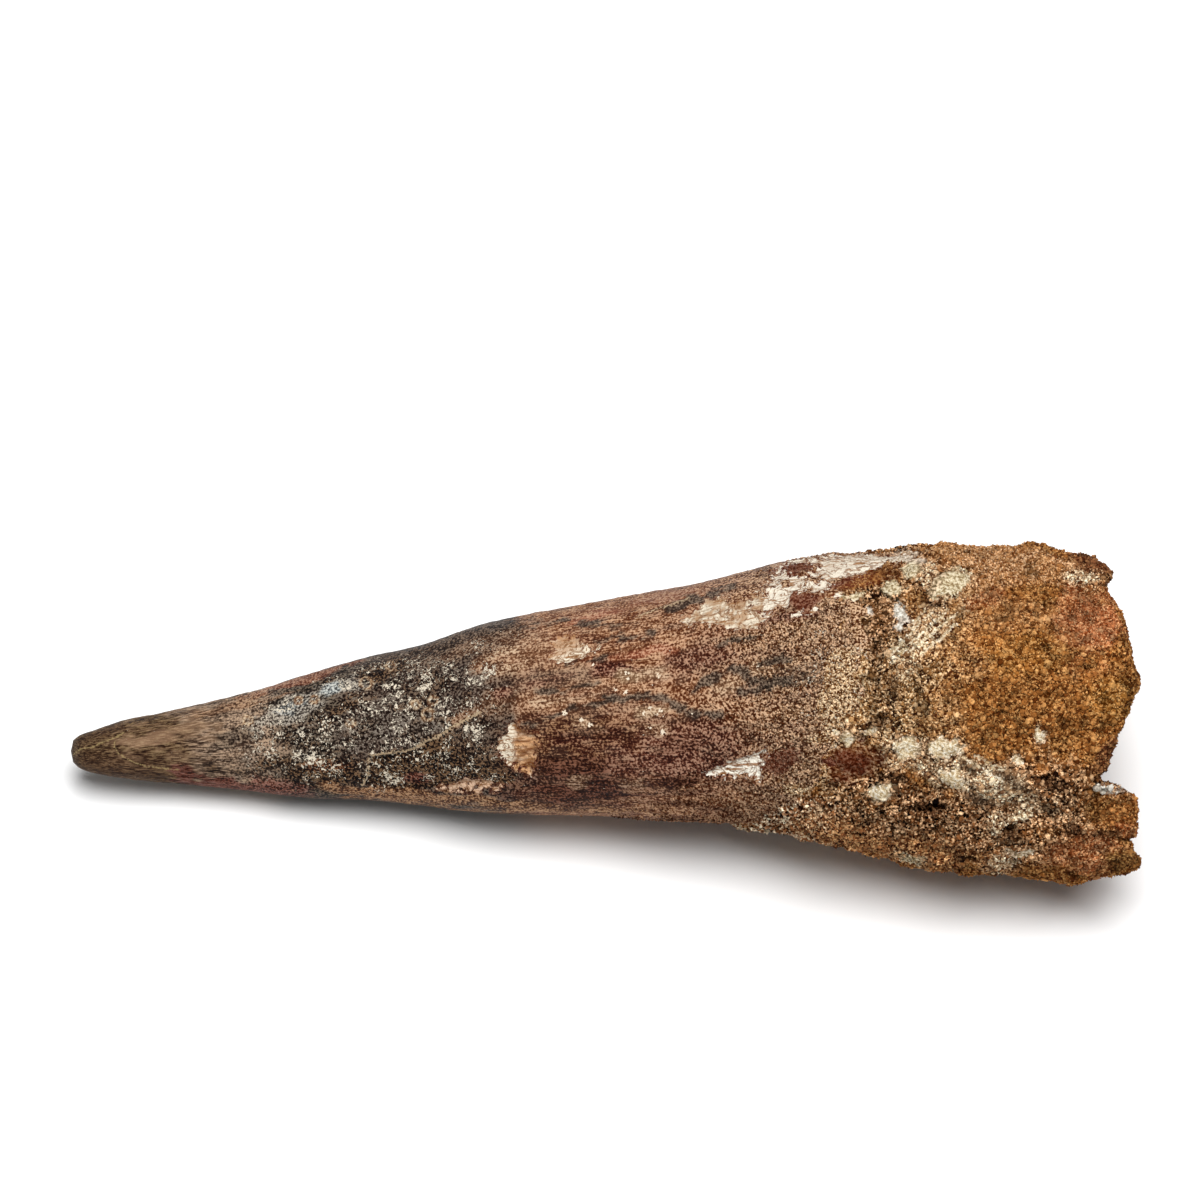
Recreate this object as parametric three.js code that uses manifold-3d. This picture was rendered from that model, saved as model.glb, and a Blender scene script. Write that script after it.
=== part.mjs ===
// A large spinosaurus tooth lying on its side, with the block of coarse sandstone that still grips its root.
// Millimetres, +Z up, the tooth's length along X with the tip at -X. It rests on the plane z = 0.
//
// Both pieces are worked out in the frame of the tooth's display face, which looks up and forward:
//   along    distance from the tip, parallel to X
//   across   distance up the display face, from a straight line through the tip
//   outward  distance towards the viewer of the display face
// Angles round the tooth start at the middle of the display face and grow towards its upper edge.
import * as THREE from "three";
import { mergeVertices } from "three/addons/utils/BufferGeometryUtils.js";
import Module from "manifold-3d";

const wasm = await Module();
wasm.setup();

// ---------------------------------------------------------------- driving dimensions

const FACE_TILT = 60; // the display face looks this many degrees above the horizon
const ORIGIN = { along: 64.5, sideways: -4.5 }; // the frame's origin, under the middle of the whole object
const GAP = 0.3; // between the root and the stone that holds it

// Tooth, seen square to the display face: [along, upper edge, lower edge]. The last two rows are inside the stone.
const TOOTH_OUTLINE = [
  [0, 1.4, -1.3],
  [0.8, 2.0, -2.0],
  [2.9, 2.75, -2.75],
  [7, 4.1, -3.5],
  [12, 5.2, -3.9],
  [21.6, 7.4, -4.8],
  [27.7, 9.3, -5.5],
  [35, 11.3, -5.95],
  [42.2, 12.95, -6.6],
  [49.5, 15.4, -7.4],
  [56.8, 16.9, -7.65],
  [64.1, 18.1, -7.75],
  [71.4, 19.5, -8.2],
  [78.7, 21.2, -8.4],
  [85.9, 22.9, -8.75],
  [92, 23.85, -9.05],
  [100, 23.9, -9.1],
  [112, 22.4, -7.6],
];
const TOOTH_DEPTH_RATIO = 0.94; // the section is a little flatter from front to back than from edge to edge
const TIP_BULGE = 0.3; // how far the worn tip stands out in its middle
const ROOT_END = 112;
// How far the underside stays above the resting plane: [along, lift]. The curved crown touches a third of the
// way up it, and its tip stays clear.
const TOOTH_LIFT = [
  [0, 5],
  [4, 3.9],
  [8, 2.9],
  [14, 1.75],
  [22, 0.65],
  [32, -0.08],
  [42, -0.12],
  [52, 0.35],
  [64, 1.15],
  [80, 2.45],
  [92, 3.1],
  [100, 3.15],
  [112, 4.6],
];

// Sandstone, seen the same way: [along, upper edge, lower edge].
const STONE_OUTLINE = [
  [78, 21.0, -8.5],
  [84, 22.6, -9.6],
  [91.4, 23.9, -10.9],
  [98.7, 24.8, -12.9],
  [102.3, 25.3, -13.9],
  [106, 25.7, -14.3],
  [109.6, 24.9, -14.8],
  [114, 24.5, -15.0],
  [117, 25.0, -15.5],
  [120.5, 23.8, -16.3],
  [124.2, 23.7, -15.3],
  [127.5, 21.9, -15.5],
];
// Sandstone's thickness in front of and behind the tooth's axis: [along, front, back].
const STONE_DEPTH = [
  [78, 14.6, 14.6],
  [87, 16.1, 16.3],
  [95, 17.2, 17.6],
  [103, 18.2, 18.4],
  [112, 18.4, 18.6],
  [120, 18.1, 18.5],
  [128, 16.6, 17.4],
];
// The broken end of the stone: [across, along, along at the back], from the lower lobes, past the notch, to the
// upper corner. The lobes stand out only in front: behind them the break falls away to the second figure.
const STONE_END = [
  [-15.2, 128.2, 123.4],
  [-14.1, 130.5, 123.9],
  [-12.8, 130.9, 124.2],
  [-11.2, 129.2, 124.5],
  [-9, 129.5, 124.7],
  [-6.6, 130.2, 125.0],
  [-5.4, 130.2, 125.1],
  [-4.5, 129.4, 125.2],
  [-3.75, 127.7, 125.2],
  [-3.1, 125.2, 125.3],
  [-1.6, 125.7, 125.7],
  [2.4, 126.8, 126.4],
  [6.3, 128.1, 127.0],
  [8.7, 129.0, 127.3],
  [11.2, 128.3, 127.1],
  [15, 128.0, 126.4],
  [17.4, 127.3, 125.8],
  [19.9, 126.1, 125.2],
  [21.8, 127.9, 125.2],
];
const STONE_END_TURN = { from: 12, to: 24 }; // the break falls away between these distances outward
const STONE_CORNER = { worn: 1.3, power: 12 }; // how far, and how tightly, the broken end's edge is worn back
// Where the stone's front edge crosses the tooth: [degrees round, along]. A bay at 88 degrees leaves the root bare.
const STONE_FRONT = [
  [-180, 90.5],
  [-150, 88],
  [-120, 83],
  [-90, 80.5],
  [-66, 84],
  [-38, 90],
  [0, 93.5],
  [30, 92.5],
  [45, 93],
  [62, 97.5],
  [76, 100],
  [88, 101.5],
  [99, 96.5],
  [108, 94],
  [125, 92.5],
  [150, 91.5],
  [180, 90.5],
];
const STONE_LIP = { height: 1, run: 1 }; // the step where the stone's front edge lies on the tooth
const STONE_DIP = { depth: 1.3, run: 2.5 }; // in front of that edge the stone's surface dips under the tooth's skin
const STONE_THICKENS = 8; // over this length behind its edge the stone reaches its full thickness
const STONE_START = 86.5; // the stone's surface is closed here, inside the tooth

// Places where the tooth's skin has broken away: centre, half sizes, tilt and depth.
const CHIPS = [
  { along: 53.8, round: -17, length: 2.2, width: 3.1, tilt: 0, depth: 0.6 },
  { along: 60.4, round: 36, length: 3.2, width: 1.6, tilt: 8, depth: 0.5 },
  { along: 80.8, round: -35, length: 3.6, width: 2.1, tilt: 18, depth: 0.6 },
  { along: 48.3, round: -47, length: 3.8, width: 1, tilt: 0, depth: 0.35 },
  { along: 43, round: -28, length: 9.5, width: 3, tilt: 8, depth: 0.35 },
  { along: 91, round: 62, length: 10, width: 3, tilt: 8, depth: 0.7 },
  { along: 38, round: 150, length: 8, width: 3, tilt: -6, depth: 0.45 },
  { along: 68, round: -150, length: 6, width: 4, tilt: 12, depth: 0.5 },
];
const CHIP_EDGE = { from: 0.75, to: 1.15 }; // a chip's floor rises to the skin between these shares of its half size

// Unevenness, as [size along, size across, height] of the swells in each layer.
const TOOTH_SWELLS = [
  [24, 7, 0.3],
  [11, 3.6, 0.2],
];
const STONE_SWELLS = [
  [9, 8, 0.6],
  [3.6, 3.4, 0.6],
];
const END_SWELL = { size: 5, height: 1.8, from: [5, 0, 2.5] }; // the lumps on the broken end
const TOOTH_SWELLS_FADE = { from: 1, to: 9 }; // along the tip, which is worn smooth
const STONE_SWELLS_FADE = { from: -1, to: 4 }; // behind the stone's front edge

// Fineness of the facets.
const TOOTH_SEGMENTS = 42;
const TOOTH_RING_STEP = 2.05;
const STONE_SEGMENTS = 66;
const STONE_SIDE_RINGS = 20;
const STONE_END_RINGS = 7;
const FIRST_END_RING = 0.35; // the first ring on the broken end lies this share of a ring in from its corner
const CORNER_PASSES = 6; // steps taken to find where a line along the stone meets its broken end

const COLOURS = {
  tooth: { color: 0x6b4a36, roughness: 0.55, metalness: 0 },
  sandstone: { color: 0xa8743a, roughness: 0.95, metalness: 0 },
};

// ---------------------------------------------------------------- helpers

const radians = THREE.MathUtils.degToRad;
const { smoothstep } = THREE.MathUtils;
const fade = (value, { from, to }) => smoothstep(value, from, to);
const SIN_TILT = Math.sin(radians(FACE_TILT));
const COS_TILT = Math.cos(radians(FACE_TILT));

// The value of one column of a table at a place along its first column: a cubic curve through the rows,
// whose slope at each row is the slope between its two neighbours.
function curve(table, column, place) {
  const last = table.length - 1;
  const at = THREE.MathUtils.clamp(place, table[0][0], table[last][0]);
  const i = Math.max(0, Math.min(last - 1, table.findIndex((row) => row[0] >= at) - 1));
  const slope = (k) => {
    const [before, after] = [table[Math.max(k - 1, 0)], table[Math.min(k + 1, last)]];
    return (after[column] - before[column]) / (after[0] - before[0]);
  };
  const run = table[i + 1][0] - table[i][0];
  const t = (at - table[i][0]) / run;
  const s = t * t * (3 - 2 * t);
  return (
    table[i][column] * (1 - s) +
    table[i + 1][column] * s +
    run * slope(i) * t * (1 - t) * (1 - t) +
    run * slope(i + 1) * t * t * (t - 1)
  );
}

// Smooth unevenness from -1 to 1: a fixed scatter of values on a unit lattice, blended between its points.
function swell(x, y, z) {
  const value = (i, j, k) => {
    const t = Math.sin(127.1 * i + 311.7 * j + 74.7 * k) * 43758.5453;
    return 2 * (t - Math.floor(t)) - 1;
  };
  const [i, j, k] = [Math.floor(x), Math.floor(y), Math.floor(z)];
  const [fx, fy, fz] = [x - i, y - j, z - k].map((t) => t * t * (3 - 2 * t));
  let sum = 0;
  for (const [di, wx] of [[0, 1 - fx], [1, fx]])
    for (const [dj, wy] of [[0, 1 - fy], [1, fy]])
      for (const [dk, wz] of [[0, 1 - fz], [1, fz]]) sum += wx * wy * wz * value(i + di, j + dj, k + dk);
  return sum;
}

const swells = (layers, along, across, outward) =>
  layers.reduce((sum, [long, wide, high]) => sum + high * swell(along / long, across / wide, outward / wide), 0);

// The tooth's axis: the middle of its outline, at the height that its lift gives.
function axis(along) {
  const across = (curve(TOOTH_OUTLINE, 1, along) + curve(TOOTH_OUTLINE, 2, along)) / 2;
  const half = (curve(TOOTH_OUTLINE, 1, along) - curve(TOOTH_OUTLINE, 2, along)) / 2;
  const reach = half * Math.hypot(COS_TILT, SIN_TILT * TOOTH_DEPTH_RATIO);
  const height = reach + curve(TOOTH_LIFT, 1, along);
  return { across, half, outward: (height - across * COS_TILT) / SIN_TILT };
}

// A point of the display face's frame as a point of the object's frame.
const place = (along, across, outward) =>
  new THREE.Vector3(
    along - ORIGIN.along,
    across * SIN_TILT - outward * COS_TILT - ORIGIN.sideways,
    across * COS_TILT + outward * SIN_TILT,
  );

// A closed surface through rings of points, from the first ring to the last, each end closed by a fan to a point.
function closedSurface(first, rings, last) {
  const count = rings[0].length;
  const points = [first, ...rings.flat(), last];
  const index = [];
  const at = (ring, k) => 1 + ring * count + (k % count);
  for (let k = 0; k < count; k++) {
    index.push(0, at(0, k), at(0, k + 1));
    index.push(points.length - 1, at(rings.length - 1, k + 1), at(rings.length - 1, k));
  }
  // Each four-sided patch is folded along its shorter diagonal.
  for (let ring = 0; ring < rings.length - 1; ring++)
    for (let k = 0; k < count; k++) {
      const [a, b, c, d] = [at(ring, k), at(ring, k + 1), at(ring + 1, k + 1), at(ring + 1, k)];
      if (points[a].distanceTo(points[c]) < points[b].distanceTo(points[d])) index.push(a, c, b, a, d, c);
      else index.push(a, d, b, b, d, c);
    }
  const geometry = new THREE.BufferGeometry().setFromPoints(points);
  geometry.setIndex(index);
  return geometry;
}

const solid = (geometry) =>
  new wasm.Manifold(
    new wasm.Mesh({
      numProp: 3,
      vertProperties: new Float32Array(geometry.attributes.position.array),
      triVerts: new Uint32Array(geometry.index.array),
    }),
  );

function meshOf(name, manifold, look) {
  const made = manifold.getMesh();
  const geometry = new THREE.BufferGeometry();
  geometry.setAttribute("position", new THREE.BufferAttribute(made.vertProperties, 3));
  geometry.setIndex(new THREE.BufferAttribute(made.triVerts, 1));
  geometry.computeVertexNormals();
  const mesh = new THREE.Mesh(geometry, new THREE.MeshStandardMaterial(look));
  mesh.name = name;
  return mesh;
}

const angles = (count) => Array.from({ length: count }, (_, k) => (360 * k) / count - 180);

// ---------------------------------------------------------------- tooth

// How deep the chips are at a place: each is a flat-bottomed oval, laid on the tooth's skin.
function chipDepth(along, round, half) {
  let depth = 0;
  for (const chip of CHIPS) {
    const turn = ((round - chip.round + 540) % 360) - 180;
    const [dx, dy] = [along - chip.along, radians(turn) * half];
    const [c, s] = [Math.cos(radians(chip.tilt)), Math.sin(radians(chip.tilt))];
    const reach = Math.hypot((c * dx + s * dy) / chip.length, (c * dy - s * dx) / chip.width);
    depth = Math.max(depth, chip.depth * (1 - fade(reach, CHIP_EDGE)));
  }
  return depth;
}

// A point of the tooth's skin, grown outwards by an allowance.
function toothPoint(along, round, allowance) {
  const { across, half, outward } = axis(along);
  const [s, c] = [Math.sin(radians(round)), Math.cos(radians(round))];
  const depth = half * TOOTH_DEPTH_RATIO;
  const unevenness = swells(TOOTH_SWELLS, along, half * s, depth * c) * fade(along, TOOTH_SWELLS_FADE);
  const relief = unevenness - chipDepth(along, round, half) + allowance;
  return place(along, across + (half + relief) * s, outward + (depth + relief) * c);
}

function toothSurface(allowance) {
  const alongs = [0, 0.4, 0.9, 1.7, 3];
  while (alongs.at(-1) < ROOT_END - TOOTH_RING_STEP) alongs.push(alongs.at(-1) + TOOTH_RING_STEP);
  alongs.push(ROOT_END + allowance);
  const rings = alongs.map((along) =>
    angles(TOOTH_SEGMENTS).map((round) => toothPoint(along, round, allowance)),
  );
  const middle = (along) => place(along, axis(along).across, axis(along).outward);
  return closedSurface(middle(-TIP_BULGE), rings, middle(ROOT_END + allowance));
}

// ---------------------------------------------------------------- sandstone

// The broken end: how far along the stone reaches at a place on it.
function stoneEnd(across, outward) {
  const { size, height, from } = END_SWELL;
  const fallen = 1 - fade(outward, STONE_END_TURN);
  const face = curve(STONE_END, 1, across) * (1 - fallen) + curve(STONE_END, 2, across) * fallen;
  const lump = swell(from[0] + across / size, from[1] + outward / size, from[2]);
  return face + (height * (lump - 1)) / 2;
}

// A section of the stone: four quarter ellipses round the tooth's axis, which meet in line. Just behind its
// front edge it is a thin lip on the tooth's skin, and in front of that edge it dips under the skin.
function stonePoint(along, round) {
  const { across, half, outward } = axis(along);
  const [s, c] = [Math.sin(radians(round)), Math.cos(radians(round))];
  const behind = along - curve(STONE_FRONT, 1, round);
  const raised = smoothstep(behind, -STONE_DIP.run, STONE_LIP.run);
  const lip = (STONE_DIP.depth + STONE_LIP.height) * raised - STONE_DIP.depth;
  const grown = smoothstep(behind, 0, STONE_THICKENS);
  const fullAcross =
    s > 0 ? curve(STONE_OUTLINE, 1, along) - across : across - curve(STONE_OUTLINE, 2, along);
  const fullOutward = curve(STONE_DEPTH, c > 0 ? 1 : 2, along);
  const skin = [half, half * TOOTH_DEPTH_RATIO];
  const [a, b] = [fullAcross, fullOutward].map(
    (full, k) => skin[k] + lip + Math.max(0, full - skin[k] - STONE_LIP.height) * grown,
  );
  const lumps = swells(STONE_SWELLS, along, a * s, b * c) * fade(behind, STONE_SWELLS_FADE);
  return [across + (a + lumps) * s, outward + (b + lumps) * c];
}

function stoneSurface() {
  // Where each line along the stone turns over the edge of the broken end.
  const corner = angles(STONE_SEGMENTS).map((round) => {
    let along = STONE_END[0][1];
    for (let pass = 0; pass < CORNER_PASSES; pass++)
      along = stoneEnd(...stonePoint(along, round)) - STONE_CORNER.worn;
    return { round, along, section: stonePoint(along, round) };
  });
  const side = Array.from({ length: STONE_SIDE_RINGS + 1 }, (_, ring) =>
    corner.map(({ round, along }) => {
      const start = curve(STONE_FRONT, 1, round) - STONE_DIP.run;
      const here = start + ((along - start) * ring) / STONE_SIDE_RINGS;
      return place(here, ...stonePoint(here, round));
    }),
  );
  const centre = [axis(ROOT_END).across, axis(ROOT_END).outward];
  const cap = Array.from({ length: STONE_END_RINGS }, (_, ring) => {
    const share = 1 - (ring + FIRST_END_RING) / (STONE_END_RINGS + FIRST_END_RING);
    return corner.map(({ section }) => {
      const [across, outward] = section.map((value, k) => centre[k] + (value - centre[k]) * share);
      return place(stoneEnd(across, outward) - STONE_CORNER.worn * share ** STONE_CORNER.power, across, outward);
    });
  });
  const front = place(STONE_START, axis(STONE_START).across, axis(STONE_START).outward);
  return closedSurface(front, [...side, ...cap], place(stoneEnd(...centre), ...centre));
}

// ---------------------------------------------------------------- the two solids

// Everything below the resting plane, which wears the flat spots that the object stands on.
function belowFloor() {
  const [wide, deep] = [200, 20];
  const box = new THREE.BoxGeometry(wide, wide, deep).translate(0, 0, -deep / 2);
  box.deleteAttribute("normal");
  box.deleteAttribute("uv");
  return solid(mergeVertices(box));
}

const floor = belowFloor();
const tooth = solid(toothSurface(0)).subtract(floor);
const sandstone = solid(stoneSurface()).subtract(solid(toothSurface(GAP))).subtract(floor);

const group = new THREE.Group();
group.add(meshOf("tooth", tooth, COLOURS.tooth));
group.add(meshOf("sandstone_matrix", sandstone, COLOURS.sandstone));

export default group;
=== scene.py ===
# The looks of a large spinosaurus tooth that lies on its side, its root held by a block of coarse sandstone.
#
# Both pieces are worked out in the frame of the tooth's display face, in millimetres:
#   along    distance from the tip, parallel to X
#   across   distance up the display face, from a straight line through the tip
#   outward  distance towards the viewer of the display face
# Angles round the tooth start at the middle of the display face and grow towards its upper edge.
# Surfaces are grids of points, rings along the tooth by columns round it, and become metres in make_piece().
import itertools

import bpy
import numpy as np
from mathutils import Matrix, Vector


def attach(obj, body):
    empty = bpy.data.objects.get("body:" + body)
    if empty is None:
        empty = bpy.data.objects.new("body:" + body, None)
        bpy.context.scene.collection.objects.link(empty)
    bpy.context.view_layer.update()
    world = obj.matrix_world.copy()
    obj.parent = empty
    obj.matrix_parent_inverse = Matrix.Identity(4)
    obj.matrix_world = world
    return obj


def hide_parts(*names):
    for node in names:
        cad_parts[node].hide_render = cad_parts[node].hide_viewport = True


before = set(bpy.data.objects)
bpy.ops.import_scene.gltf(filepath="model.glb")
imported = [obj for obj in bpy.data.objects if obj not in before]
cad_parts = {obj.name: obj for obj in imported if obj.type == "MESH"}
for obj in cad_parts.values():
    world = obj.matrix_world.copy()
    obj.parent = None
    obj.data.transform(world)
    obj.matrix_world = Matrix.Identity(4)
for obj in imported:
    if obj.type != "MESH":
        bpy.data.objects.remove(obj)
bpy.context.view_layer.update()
rng = np.random.default_rng(11)

# ---------------------------------------------------------------- the form, as in the solids

MM = 0.001
FACE_TILT = np.radians(60)  # the display face looks this far above the horizon
ORIGIN = {"along": 64.5, "sideways": -4.5}
TOOTH_DEPTH_RATIO = 0.94
TIP_BULGE = 0.3
ROOT_END = 112

# Tooth: [along, upper edge, lower edge].
TOOTH_OUTLINE = [
    [0, 1.4, -1.3],
    [0.8, 2.0, -2.0],
    [2.9, 2.75, -2.75],
    [7, 4.1, -3.5],
    [12, 5.2, -3.9],
    [21.6, 7.4, -4.8],
    [27.7, 9.3, -5.5],
    [35, 11.3, -5.95],
    [42.2, 12.95, -6.6],
    [49.5, 15.4, -7.4],
    [56.8, 16.9, -7.65],
    [64.1, 18.1, -7.75],
    [71.4, 19.5, -8.2],
    [78.7, 21.2, -8.4],
    [85.9, 22.9, -8.75],
    [92, 23.85, -9.05],
    [100, 23.9, -9.1],
    [112, 22.4, -7.6],
]
TOOTH_LIFT = [
    [0, 5.0],
    [4, 3.9],
    [8, 2.9],
    [14, 1.75],
    [22, 0.65],
    [32, -0.08],
    [42, -0.12],
    [52, 0.35],
    [64, 1.15],
    [80, 2.45],
    [92, 3.1],
    [100, 3.15],
    [112, 4.6],
]
TOOTH_SWELLS = [(24, 7, 0.3), (11, 3.6, 0.2)]  # size along, size across and height of each layer
GROWTH_RADIUS = 12  # where the tooth is this thick, marks that follow its growth are at their own width

# Sandstone: [along, upper edge, lower edge], and its thickness in front of and behind the tooth's axis.
STONE_OUTLINE = [
    [78, 21.0, -8.5],
    [84, 22.6, -9.6],
    [91.4, 23.9, -10.9],
    [98.7, 24.8, -12.9],
    [102.3, 25.3, -13.9],
    [106, 25.7, -14.3],
    [109.6, 24.9, -14.8],
    [114, 24.5, -15.0],
    [117, 25.0, -15.5],
    [120.5, 23.8, -16.3],
    [124.2, 23.7, -15.3],
    [127.5, 21.9, -15.5],
]
STONE_DEPTH = [
    [78, 14.6, 14.6],
    [87, 16.1, 16.3],
    [95, 17.2, 17.6],
    [103, 18.2, 18.4],
    [112, 18.4, 18.6],
    [120, 18.1, 18.5],
    [128, 16.6, 17.4],
]
# Its broken end: [across, along, along at the back].
STONE_END = [
    [-15.2, 128.2, 123.4],
    [-14.1, 130.5, 123.9],
    [-12.8, 130.9, 124.2],
    [-11.2, 129.2, 124.5],
    [-9, 129.5, 124.7],
    [-6.6, 130.2, 125.0],
    [-5.4, 130.2, 125.1],
    [-4.5, 129.4, 125.2],
    [-3.75, 127.7, 125.2],
    [-3.1, 125.2, 125.3],
    [-1.6, 125.7, 125.7],
    [2.4, 126.8, 126.4],
    [6.3, 128.1, 127.0],
    [8.7, 129.0, 127.3],
    [11.2, 128.3, 127.1],
    [15, 128.0, 126.4],
    [17.4, 127.3, 125.8],
    [19.9, 126.1, 125.2],
    [21.8, 127.9, 125.2],
]
STONE_END_TURN = (12, 24)
STONE_CORNER = {"worn": 1.3, "power": 12}
END_SWELL = {"size": 5, "height": 1.8, "from": (5, 0, 2.5)}
STONE_SWELLS = [(9, 8, 0.6), (3.6, 3.4, 0.6)]
# Where its front edge crosses the tooth: [degrees round, along, height of the step there].
STONE_FRONT = [
    [-180, 90.5, 0.6],
    [-150, 88, 0.9],
    [-120, 83, 1.0],
    [-90, 80.5, 1.0],
    [-66, 84, 0.8],
    [-38, 90, 0.35],
    [0, 93.5, 0.25],
    [30, 92.5, 0.25],
    [45, 93, 0.3],
    [62, 97.5, 0.6],
    [76, 100, 0.9],
    [88, 101.5, 1.0],
    [99, 96.5, 1.0],
    [108, 94, 0.9],
    [125, 92.5, 0.8],
    [150, 91.5, 0.7],
    [180, 90.5, 0.6],
]
STONE_DIP = {"depth": 1.3, "run": 2.5}
STONE_LIP_RUN = 1
STONE_THICKENS = 8
STONE_START = 86.5

# ---------------------------------------------------------------- the camera

LENS = 300
SENSOR = 36
FRAME_WIDTH = 145.7  # how wide the view is where the camera is aimed, in millimetres
AIM = (64.1, 18.45, 10)  # along, across and outward of the middle of the view
CAMERA_DISTANCE = FRAME_WIDTH * LENS / SENSOR

# ---------------------------------------------------------------- marks on the display face
# Their places are [along, across] in the plane that the camera is aimed at; seen() takes the points of a
# surface to that plane.

# Outlines of the places where the dark skin has flaked off pale dentine, and how deep each is.
FLAKES = {
    "band": (
        0.35,
        [(83.0, 17.1), (82.3, 18.7), (83.3, 19.9), (84.5, 20.9), (85.8, 22.5), (87.2, 23.2), (90.8, 23.8)]
        + [(95.4, 24.5), (98.2, 24.5), (100.9, 24.3), (102.6, 23.9), (100.1, 22.9), (97.7, 22.3)]
        + [(96.4, 21.8), (93.2, 21.2), (91.9, 20.5), (92.5, 19.9), (90.8, 19.4), (89.1, 19.7)]
        + [(87.5, 19.4), (86.9, 18.3), (86.7, 17.6), (84.7, 17.4)],
    ),
    "yellowed": (
        0.2,
        [(73.9, 16.1), (74.4, 16.5), (76.4, 17.8), (77.3, 18.7), (79.0, 18.9), (80.0, 18.1), (81.9, 18.7)]
        + [(83.2, 17.1), (85.3, 17.0), (83.5, 15.5), (82.2, 14.8), (80.5, 14.9), (79.0, 15.5), (76.6, 15.8)]
        + [(74.8, 15.4)],
    ),
    "crumbs": (0.15, [(87.3, 16.5), (88.0, 17.1), (89.1, 17.1), (90.3, 17.4), (89.8, 16.6), (88.4, 16.4)]),
    "strip": (0.15, [(92.6, 18.7), (93.6, 19.1), (95.3, 19.2), (95.2, 18.8), (93.5, 18.5)]),
    "window": (
        0.5,
        [(52.7, 3.5), (53.7, 3.6), (54.4, 2.5), (55.5, 2.2), (56.6, 1.9), (56.6, -0.5), (56.0, -1.5)]
        + [(55.7, -2.8), (54.6, -2.3), (53.0, -1.7), (52.1, -0.5), (51.7, 0.6), (52.1, 1.6), (52.7, 2.2)],
    ),
    "upper": (
        0.4,
        [(57.7, 11.5), (58.4, 12.6), (58.1, 13.5), (59.2, 14.2), (61.1, 14.3), (61.7, 13.2), (62.6, 13.0)]
        + [(64.0, 12.7), (62.4, 11.7), (61.2, 11.2), (58.9, 10.8)],
    ),
    "triangle": (
        0.5,
        [(76.6, -2.7), (78.7, -1.8), (80.2, -1.1), (82.2, -0.6), (84.2, 0.5), (84.5, 0.1), (83.8, -1.1)]
        + [(83.6, -2.4), (84.1, -3.5), (83.5, -4.0), (82.7, -3.2), (80.5, -3.3), (78.9, -3.2)],
    ),
    "sliver": (
        0.3,
        [(44.4, -4.5), (46.5, -3.8), (48.7, -3.5), (50.5, -3.9), (52.1, -4.4), (50.5, -4.6), (48.4, -4.6)]
        + [(46.5, -4.9)],
    ),
}
# Red-brown skin left standing inside the pale band.
ISLANDS = [
    [(85.6, 22.3), (87.2, 22.9), (90.8, 23.1), (90.9, 22.5), (89.0, 21.7), (87.2, 21.6)],
    [(83.2, 19.5), (84.2, 20.4), (85.2, 20.2), (84.5, 19.7), (83.9, 19.1)],
    [(88.6, 21.1), (89.6, 21.3), (91.3, 21.2), (91.0, 20.7), (89.3, 20.7)],
    [(86.0, 21.1), (87.0, 21.2), (86.9, 20.5), (86.1, 20.5)],
]
# A shallow flake of the crown, with the pale ledge along its upper side.
RECESS = (
    [(35.7, -4.0), (35.9, -2.8), (36.2, -0.6), (38.0, -0.1), (41.0, 0.4), (43.5, 1.6), (45.9, 3.2)]
    + [(48.3, 4.9), (50.7, 5.6), (52.9, 5.6), (53.8, 4.4), (52.4, 3.4), (52.0, 0.8), (52.4, -1.6)]
    + [(54.4, -2.8), (53.8, -4.1), (48.3, -4.2), (42.2, -4.4), (38.6, -4.6)]
)
RECESS_DEPTH = 0.3
RECESS_FADES = (46, 52)  # its dark tone fades between these values of along plus 1.6 times across
RUST_BLOB = (42.2, -3.3, 1.6, 0.7, 0)  # in that flake: along, across, half length, half width, tilt
# Pale ridges: half width and line. The first three are that ledge.
RIDGES = [
    (0.17, [(36.2, -0.45), (38.0, -0.2), (40.0, 0.0), (41.5, 0.3), (43.0, 1.3), (44.6, 1.9), (46.2, 3.1)]),
    (0.17, [(46.2, 3.1), (47.8, 3.9), (49.6, 4.9)]),
    (0.13, [(35.2, -4.0), (35.9, -2.8), (36.2, -0.45)]),
    (0.1, [(68.6, 16.3), (70.5, 17.1), (72.5, 17.7), (75.0, 18.7)]),
]
RIDGE_HEIGHT = 0.12
# Flakes of the hidden side: [along, degrees round, half length, half width, tilt, depth].
BACK_FLAKES = [
    [38, 150, 8, 3, -6, 0.4],
    [68, -150, 6, 4, 12, 0.45],
    [57, 118, 3, 1.6, 20, 0.4],
    [84, 142, 5, 2.4, 10, 0.4],
    [24, -140, 3.5, 1.2, 0, 0.25],
]
# Cracks: half width and line.
GOLD_CRACK = (0.1, [(0.0, -0.4), (1.1, 0.4), (2.5, 0.6), (3.5, 1.1), (4.6, 1.5), (5.5, 1.9), (6.3, 2.4)])
PALE_CRACK = (
    0.1,
    [(5.3, 1.7), (5.1, 0.7), (5.6, -0.2), (6.6, -0.8), (7.6, -1.3), (9.0, -1.7), (10.7, -1.9), (12.9, -2.2)],
)
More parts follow.
